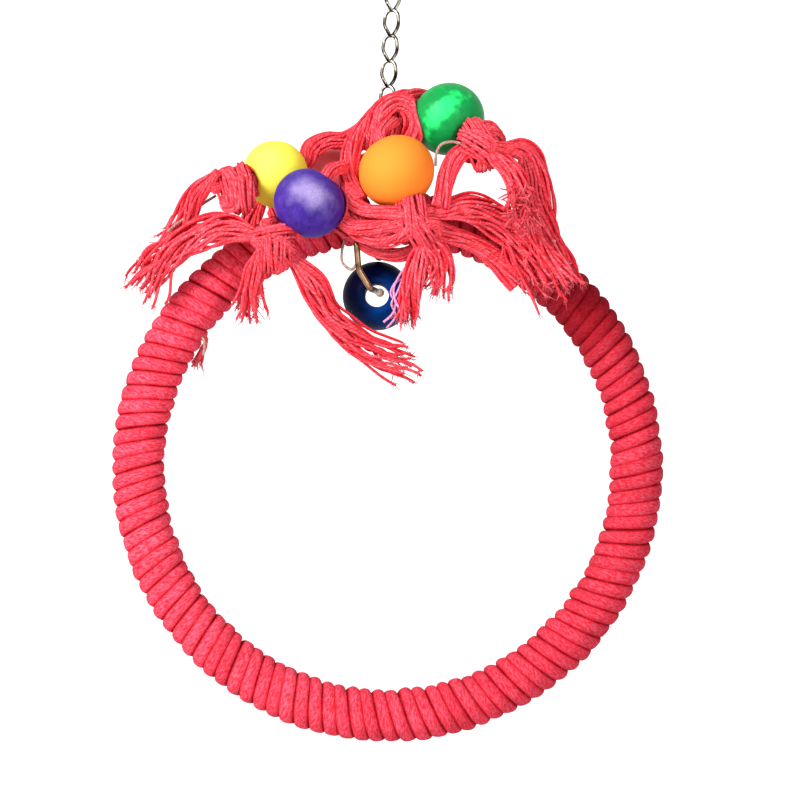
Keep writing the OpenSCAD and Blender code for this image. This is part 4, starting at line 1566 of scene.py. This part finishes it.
def ties() -> list[Tie]:
    """The three ties of the swing.

    Their routes follow the part's source. The folds are further lengths of the same yarns, which
    loop over the knots and the ring.

    Returns:
        The ties.
    """
    arch = [[-26.6, 4, 14.6], [-21, 5, 18.0], [-15, 5.4, 18.2], [-8.6, 6, 21.4], [-2.1, 5, 30.5]]
    crown = [[2, -5.4, 31.6], [6.5, -5, 33.4], [11, -0.5, 34.6]]
    rise = [[-13.4, -15, 7], [-10.8, -9, 13.4], [-8, 1, 18.6], [-2.6, 5, 22]]
    fall = [[1.8, -5, 23.4], [2.6, -10, 24]]
    bight = [[3, -23.6, -18], [-3, -23, -18], [-7.5, -21, -15.5], [-9.6, -17.5, -9.5],
             [-10.4, -13, -3], [-10.4, -7, 3], [-8.4, 1.5, 9], [-2.4, 5.4, 13.2]]
    back = [[2.4, -4.8, 14.6], [7.4, -3, 15.4], [9, 4, 14.6], [3, 11, 12.5]]
    fold = free_stops([[-6.7, -8, 13.3], [-5.2, -9, 21.2], [-1.8, -9, 28], [4, -9, 31],
                       [9.4, -10, 28], [10.8, -12, 22.3], [8.9, -10, 17.5]], 4.8, 2.8)
    fold_inner = free_stops([[-2.5, -3, 9], [1.5, -5, 16], [3.6, -7, 22], [5, -6, 28],
                             [6, -2, 33]], 4.2, 2.2)
    column = free_stops([[-3.1, -4, 27.8], [-8.5, -8, 21.1], [-11.6, -12, 13.9],
                         [-12.4, -15, 7.1], [-11.6, -17, 0.5], [-7.7, -20, -5.3]], 4.0, 2.2)
    to_middle = free_stops([[31.5, -21, 15.5], [26.5, -22, 12], [23.4, -22, 6.6],
                            [22, -23, 0.4], [20.4, -25, -7]], 4.1, 2.2)
    upper_loop = free_stops([[-12, -17, 0.5], [-11.4, -19, -4.4], [-7.2, -22, -8.4],
                             [-0.4, -26, -9.8], [6.7, -28, -10.4], [12.4, -26, -11.6]], 3.4, 2.0)
    lower_loop = free_stops([[-10.8, -17, -1.6], [-13.7, -20, -6.4], [-14.1, -22, -11.9],
                             [-10.7, -24, -15.4], [-4.2, -25, -15.4],
                             [3.5, -26, -14.4], [11.2, -25, -14]], 3.4, 2.0)
    under = free_stops([[-15.9, -14, -13.8], [-8.6, -15, -18.8], [-0.6, -16, -23.4],
                        [6.6, -17, -24.2], [13.2, -19, -22]], 3.3, 2.2)
    over_ring = free_stops([[14, -24, -11], [21.1, -22, -14.8], [31.4, -18, -18],
                            [41.8, -15, -23.7], [50.2, -14, -32.4]], 4.6, 2.2)
    left, low = (0.4, 0, -0.92), (0.87, 0, -0.5)
    right, near, behind = (0.57, 0, 0.82), (-0.86, 0, -0.48), (-0.4, 0, 0.8)
    return [
        Tie("rope_yellow_green", "tie_yellow_green",
            knot_stops(YELLOW, left, -1, (1.5, 0, -3.5)) + bead_stops(YELLOW, False, True)
            + free_stops(arch[:4], 4.6, 2.8) + free_stops(arch[4:], 4.0, 2.4) + link_stop(6)
            + free_stops(crown, 4.0, 2.4) + bead_stops(GREEN, True, False)
            + knot_stops(GREEN, right, 1), (YELLOW, GREEN), 31,
            knot_wraps(YELLOW, left, -1,
                       Band((0.3, 0, -0.95), 8.0, 6.6, 5.0, 11, (1.5, 0, -3.5)),
                       Band((0.1, 0, -1), 7.0, 5.4, 4.4, 9, (4.2, -2, -5.5)))
            + knot_wraps(GREEN, right, 1, Band((0.5, 0, -0.86), 9.4, 7.0, 5.2, 12),
                         Band((0.86, 0, -0.5), 8.0, 7.4, 5.0, 11, (-0.6, -0.6, -1.2))),
            (tuple(fold), tuple(fold_inner), tuple(to_middle))),
        Tie("rope_purple_orange", "tie_purple_orange",
            knot_stops(PURPLE, low, -1) + bead_stops(PURPLE, False, True)
            + free_stops(rise[:3], 3.2, 2.8) + free_stops(rise[3:], 3.6, 2.4) + link_stop(7)
            + free_stops(fall, 3.2, 2.4) + bead_stops(ORANGE, True, False)
            + knot_stops(ORANGE, near, 1), (PURPLE, ORANGE), 32,
            knot_wraps(PURPLE, low, -1, Band((0.95, 0, 0.2), 7.6, 6.6, 3.6, 8, (0, 0, 4)),
                       Band((0.05, 0, -1), 7.6, 7.2, 5.8, 13, (0, 0, -1.5)))
            + knot_wraps(ORANGE, near, 1, Band((0.62, 0, -0.78), 9.6, 7.0, 5.2, 12),
                         Band((0.2, 0, -1), 8.6, 7.4, 5.0, 11, (-1, 0, 2.5))),
            (tuple(column), tuple(over_ring))),
        Tie("rope_red", "tie_red",
            free_stops([[10, -23, -14]] + bight[:5], 5.4, 2.6) + free_stops(bight[5:7], 4.4, 2.6)
            + free_stops(bight[7:], 3.2, 2.3) + link_stop(8)
            + free_stops(back, 3.2, 2.4) + bead_stops(RED, True, False)
            + knot_stops(RED, behind, 1), (RED,), 33,
            knot_wraps(RED, behind, 1, Band((0.3, 0, -0.95), 8.4, 6.8, 5.0, 11)),
            (tuple(upper_loop), tuple(lower_loop), tuple(under))),
    ]


@dataclass
class WoundRing:
    """The hoop's winding: one soft rope, turn pressed against turn, from hanger to hanger."""

    turns: int = 110
    steps: int = 34
    sides: int = 20
    room: float = 2.4
    lean: float = 1.5
    half_height: float = 2.75
    overlap: float = 1.17
    lobe_run: float = 26.0
    # Where the painted shadow on the ring is deepest, in degrees from its right side towards its
    # top, and how far it reaches
    dye_at: float = 42.0
    dye_reach: float = 13.0
    seed: int = 5

    def build(self, material: bpy.types.Material) -> bpy.types.Object:
        """The rope's mesh.

        At turn angle a the rope's middle lies at the ring's mid radius less the winding radius
        times cos a, and forward by the winding radius times sin a. The angle round the ring grows
        evenly, less the lean times cos a. The section is a soft oval, a sixth wider than the local
        pitch. The colour is mixed towards the deep one by an even share, the rope's own tint, and
        by
        painted shade: more with the cosine of the angle round the ring, so that its right side is
        darker, and a painted shadow in a bell curve of that angle at one place. The grooves
        between turns and the side against the hoop are painted in shade too. Three lobes of the
        section wind along the rope, for its strands.

        Args:
            material: the rope's material.

        Returns:
            The object.
        """
        rng = np.random.default_rng(self.seed)
        mid = RING_R - TUBE_R
        wind = TUBE_R - self.half_height
        count = self.turns * self.steps
        k = np.arange(count + 1)
        turn = 2 * np.pi * k / self.steps
        start = WINDING_START + (self.room + self.lean) / mid
        span = 2 * math.pi - 2 * self.room / mid - self.lean / mid
        knots = rng.normal(0, 1, (3, self.turns + 3))
        wobble = [np.interp(k / self.steps, np.arange(self.turns + 3), row) for row in knots]
        around = start + span * k / count - self.lean * np.cos(turn) / mid
        around = around + 0.3 / mid * wobble[0]
        radius = wind + 0.2 * wobble[1]
        out = mid - radius * np.cos(turn)
        line = np.stack([out * np.cos(around), -radius * np.sin(turn), out * np.sin(around)], 1)
        hoop = mid * np.stack([np.cos(around), 0 * around, np.sin(around)], 1)
        outward = unit(line - hoop)
        line = line + RING_MIDDLE
        pitch = span * out / self.turns
        half_width = 0.5 * pitch * (self.overlap + 0.05 * wobble[2])
        along = unit(np.gradient(line, axis=0))
        outward = unit(outward - (outward * along).sum(-1, keepdims=True) * along)
        across = np.cross(along, outward)
        side = 2 * np.pi * np.arange(self.sides) / self.sides
        run = np.concatenate([[0], np.cumsum(np.linalg.norm(np.diff(line, axis=0), axis=1))])
        lobes = 1 + 0.035 * np.cos(3 * (side[None] + 2 * np.pi * run[:, None] / self.lobe_run))
        circle = np.stack([np.cos(side), np.sin(side)])
        shape = np.abs(circle) ** 0.92 * np.sign(circle)
        rings = (line[:, None]
                 + (half_width[:, None] * shape[0] * lobes)[..., None] * across[:, None]
                 + (self.half_height * shape[1] * lobes)[..., None] * outward[:, None])
        # Painted shade: the grooves between turns and the side against the hoop are marked low, so
        # they are painted in the deep colour.
        rise = 1 - np.clip((self.overlap * np.abs(shape[0]) - 0.5) / 0.5, 0, 1) ** 2
        rise = np.where(shape[1] > -0.1, rise, 0)
        tone = 0.5 + 0.18 * wobble[2]
        # Painted shade: darker towards the ring's right side, and a painted shadow round one
        # angle, over an even tint.
        from_dye = (np.degrees(around) - 360 - self.dye_at) / self.dye_reach
        dye = np.clip(0.16 + 0.2 * np.cos(around) + 0.6 * np.exp(-(from_dye**2)), 0, 0.92)
        mesh = Mesh("wound_rope")
        mesh.add_tubes(rings[None], run[None], rise=np.broadcast_to(rise, (1, len(k), self.sides)),
                       tone=np.clip(tone, 0, 1)[None], dye=dye[None])
        return mesh.build(material)

    def fuzz(self, material: bpy.types.Material, count: int = 7600) -> bpy.types.Object:
        """Loose fibres on the rope, on its outside, pointing outwards at random.

        Args:
            material: the rope's material.
            count: how many there are.

        Returns:
            The object.
        """
        rng = np.random.default_rng(self.seed + 1)
        mid, r = RING_R - TUBE_R, TUBE_R - 0.5
        turn = rng.uniform(0, 2 * np.pi, count)
        around = WINDING_START + rng.uniform(0.1, 2 * math.pi - 0.1, count)
        out = mid + r * np.cos(turn)
        roots = np.stack([out * np.cos(around), r * np.sin(turn), out * np.sin(around)], 1)
        away = unit(roots - mid * np.stack([np.cos(around), 0 * around, np.sin(around)], 1))
        ways = unit(away * 0.7 + rng.normal(0, 0.75, (count, 3)))
        mesh = Mesh("wound_rope_fuzz")
        add_hairs(mesh, roots + RING_MIDDLE, ways, rng.uniform(0.7, 1.6, count),
                  thickness=0.09, rng=rng, tone=1.2)
        return mesh.build(material)


@dataclass
class ChainLink:
    """A twisted link of wire, whose lower bend is turned a quarter from its upper one."""

    top_z: float
    turned: float = 0.0
    wire: float = LINK_WIRE
    width: float = 6.4
    height: float = 10.65
    flat_share: float = 0.2

    def build(self, name: str, material: bpy.types.Material) -> bpy.types.Object:
        """The link's mesh, a round wire carried along a closed path.

        The path is a flat loop of two half circles and two legs, turned about the upright axis.
        The turn grows from nothing at a fifth of the height to a quarter at the foot, by the
        smooth step.

        Args:
            name: the object's name.
            material: the wire's material.

        Returns:
            The object.
        """
        r = (self.width - self.wire) / 2
        leg = self.height - 2 * r - self.wire
        a = np.linspace(0, np.pi, 33)[:-1]
        t = np.linspace(0, 1, 21)[:-1]
        aside = np.concatenate([r * np.cos(a), 0 * t - r, -r * np.cos(a), 0 * t + r])
        high = np.concatenate([r * np.sin(a), -leg * t, -leg - r * np.sin(a), -leg * (1 - t)])
        down = (r - high) / (leg + 2 * r)
        way = np.clip((down - self.flat_share) / (1 - self.flat_share), 0, 1)
        turned = self.turned + np.pi / 2 * way * way * (3 - 2 * way)
        path = np.stack([aside * np.cos(turned), aside * np.sin(turned), high], 1)
        path = path + [0, 0, self.top_z - r]
        middle = path.mean(0)
        along = unit(np.roll(path, -1, 0) - np.roll(path, 1, 0))
        n = path - middle
        n = unit(n - (n * along).sum(-1, keepdims=True) * along)
        b = np.cross(along, n)
        turn = 2 * np.pi * np.arange(16) / 16
        rings = path[:, None] + self.wire / 2 * (np.cos(turn)[:, None] * n[:, None]
                                                 + np.sin(turn)[:, None] * b[:, None])
        run = np.linspace(0, 28, len(path))[None]
        mesh = Mesh(name)
        mesh.add_tubes(rings[None], run, closed=True)
        return mesh.build(material)


@dataclass(frozen=True)
class Studio:
    """Camera, lamps, white surroundings and the pale cove under the swing, in metres.

    The camera's aim is given in the photo's pixels, to the right of the ring's middle and above
    it, and the cove by its floor, its bend and its ends.
    """

    distance: float = 0.9
    pixel: float = 0.363 * MM
    picture: int = 800
    aim: tuple[float, float] = (12.5, 66.5)
    roll: float = math.radians(3.0)
    sensor: float = 36.0
    ambient: float = 0.36
    floor_glow: float = 0.75
    floor_z: float = -0.5
    bend_y: float = 1.2
    bend_r: float = 0.8
    front_y: float = -2.5
    top_z: float = 3.0
    half_width: float = 3.0

    def camera(self) -> None:
        """Places the camera level, straight in front, at the photo's roll and scale."""
        data = bpy.data.cameras.new("view")
        data.sensor_width = self.sensor
        data.lens = self.sensor * self.distance / (self.picture * self.pixel)
        data.clip_start = 0.01
        eye = bpy.data.objects.new("view", data)
        bpy.context.scene.collection.objects.link(eye)
        right = np.array([math.cos(self.roll), 0, math.sin(self.roll)])
        up = np.array([-math.sin(self.roll), 0, math.cos(self.roll)])
        middle = (np.asarray(RING_MIDDLE) * MM + self.aim[0] * self.pixel * right
                  + self.aim[1] * self.pixel * up)
        spot = middle - self.distance * np.array([0, 1, 0])
        eye.matrix_world = Matrix([[right[i], up[i], -float(i == 1), spot[i]] for i in range(3)]
                                  + [[0, 0, 0, 1]])
        bpy.context.scene.camera = eye

    @staticmethod
    def lamp(name: str, at: tuple[float, ...], size: float, power: float,
             colour: tuple[float, ...]) -> None:
        """An area lamp that faces the top of the ring.

        Args:
            name: its name.
            at: its place in metres.
            size: its side in metres.
            power: its power in watts.
            colour: its colour.
        """
        data = bpy.data.lights.new(name, "AREA")
        data.shape, data.size, data.energy, data.color = "SQUARE", size, power, colour
        thing = bpy.data.objects.new(name, data)
        bpy.context.scene.collection.objects.link(thing)
        to = unit(np.array(at) - [0.0, 0.0, -0.16])
        x = unit(np.cross([0, 0, 1], to))
        y = np.cross(to, x)
        thing.matrix_world = Matrix([[x[i], y[i], to[i], at[i]] for i in range(3)]
                                    + [[0, 0, 0, 1]])

    @staticmethod
    def _seen(n: Nodes) -> bpy.types.NodeSocket:
        """Which rays see the surroundings: 1 from the camera and off metal, 0 for rays that light.

        Args:
            n: the node helper of the material or world.

        Returns:
            The socket.
        """
        path = n.add("ShaderNodeLightPath")
        seen = n.math("MAXIMUM", path.outputs["Is Camera Ray"], path.outputs["Is Glossy Ray"])
        return n.math("MAXIMUM", seen, path.outputs["Is Transmission Ray"])

    def surroundings(self) -> None:
        """A world that lights softly and is seen as white."""
        world = bpy.data.worlds.new("surroundings")
        bpy.context.scene.world = world
        world.use_nodes = True
        world.node_tree.nodes.clear()
        n = Nodes(world.node_tree)
        strength = n.add("ShaderNodeMapRange", Value=self._seen(n), To_Min=self.ambient,
                         To_Max=1.0)
        back = n.add("ShaderNodeBackground", Color=(1, 1, 1, 1),
                     Strength=strength.outputs["Result"])
        n.add("ShaderNodeOutputWorld", Surface=back.outputs[0])

    def cove(self) -> None:
        """A pale floor below the swing that curves up behind it: a profile carried sideways."""
        material, n, shader = new_material("pale_cove")
        cloud = n.add("ShaderNodeTexNoise", Vector=n.object_place(), Scale=3.0)
        n.feed(shader, Base_Color=n.mix(cloud.outputs["Fac"], (0.8, 0.8, 0.8, 1),
                                        (0.84, 0.84, 0.84, 1)),
               Roughness=0.9, Emission_Color=(1, 1, 1, 1),
               Emission_Strength=n.math("MULTIPLY", self._seen(n), self.floor_glow))
        bend = np.linspace(0, np.pi / 2, 25)
        y = np.concatenate([[self.front_y], self.bend_y + self.bend_r * np.sin(bend),
                            [self.bend_y + self.bend_r]])
        z = np.concatenate([[self.floor_z], self.floor_z + self.bend_r * (1 - np.cos(bend)),
                            [self.top_z]])
        rows = np.stack([np.stack([np.full_like(y, x), y, z], 1)
                         for x in (-self.half_width, self.half_width)])
        count = len(y)
        i = np.arange(count - 1)
        faces = np.stack([i, i + count, i + count + 1, i + 1], 1)
        data = bpy.data.meshes.new("cove")
        data.from_pydata(rows.reshape(-1, 3).tolist(), [], faces.tolist())
        data.shade_smooth()
        data.materials.append(material)
        cove = bpy.data.objects.new("cove", data)
        bpy.context.scene.collection.objects.link(cove)

    def build(self) -> None:
        """Places everything that isn't part of the swing."""
        self.camera()
        self.surroundings()
        self.lamp("key", (-0.9, -0.9, 0.42), 0.5, 23.0, (1.0, 0.99, 0.98))
        self.lamp("fill", (0.6, -1.1, 0.1), 0.9, 7.0, (0.97, 0.98, 1.0))
        self.cove()
        bpy.context.scene.view_settings.view_transform = "Standard"


def main() -> None:
    """Builds the studio and then the swing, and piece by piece."""
    logging.basicConfig(level=logging.INFO, format="%(message)s")
    Studio().build()
    finishes = Finishes()
    for bead in BEADS:
        place_piece(bead.build(finishes.beads[bead.finish]), bead.body, f"{bead.colour}_bead",
                    f"bead_{bead.colour}")
    ring = WoundRing()
    place_piece(ring.build(finishes.rope), "ring", "wrap_rope", "winding")
    place_piece(ring.fuzz(finishes.rope), "ring", "wrap_rope")
    for tie in ties():
        place_piece(tie.build(finishes.yarn), "ring", "tie_rope", tie.node)
    for tassel in TASSELS:
        replaced = (tassel.node,) if tassel.node else ()
        place_piece(tassel.build(finishes.yarn), "ring", "yarn", *replaced)
    place_piece(BARE_THREADS.build(finishes.bare), "ring", "yarn")
    place_piece(FADED_THREADS.build(finishes.faded), "ring", "yarn")
    for i in range(FREE_LINKS + BOUND_LINKS):
        free = i < FREE_LINKS
        node = f"chain_link_{i + 1}" if free else f"bound_link_{i - FREE_LINKS + 1}"
        link = ChainLink(FIRST_LINK_Z - LINK_PITCH * i + LINK_WIRE / 2, LINK_TURN if i else 0.0)
        place_piece(link.build(f"wire_{node}", finishes.chain),
                    f"link_{i + 1}" if free else "ring", "chain_steel", node)
    for node, material in (("quick_link", finishes.zinc), ("quick_sleeve", finishes.zinc),
                           ("hanger", finishes.wire), ("bead_hook", finishes.wire),
                           ("hoop", finishes.rattan)):
        dress(node, material)


if __name__ == "__main__":
    main()
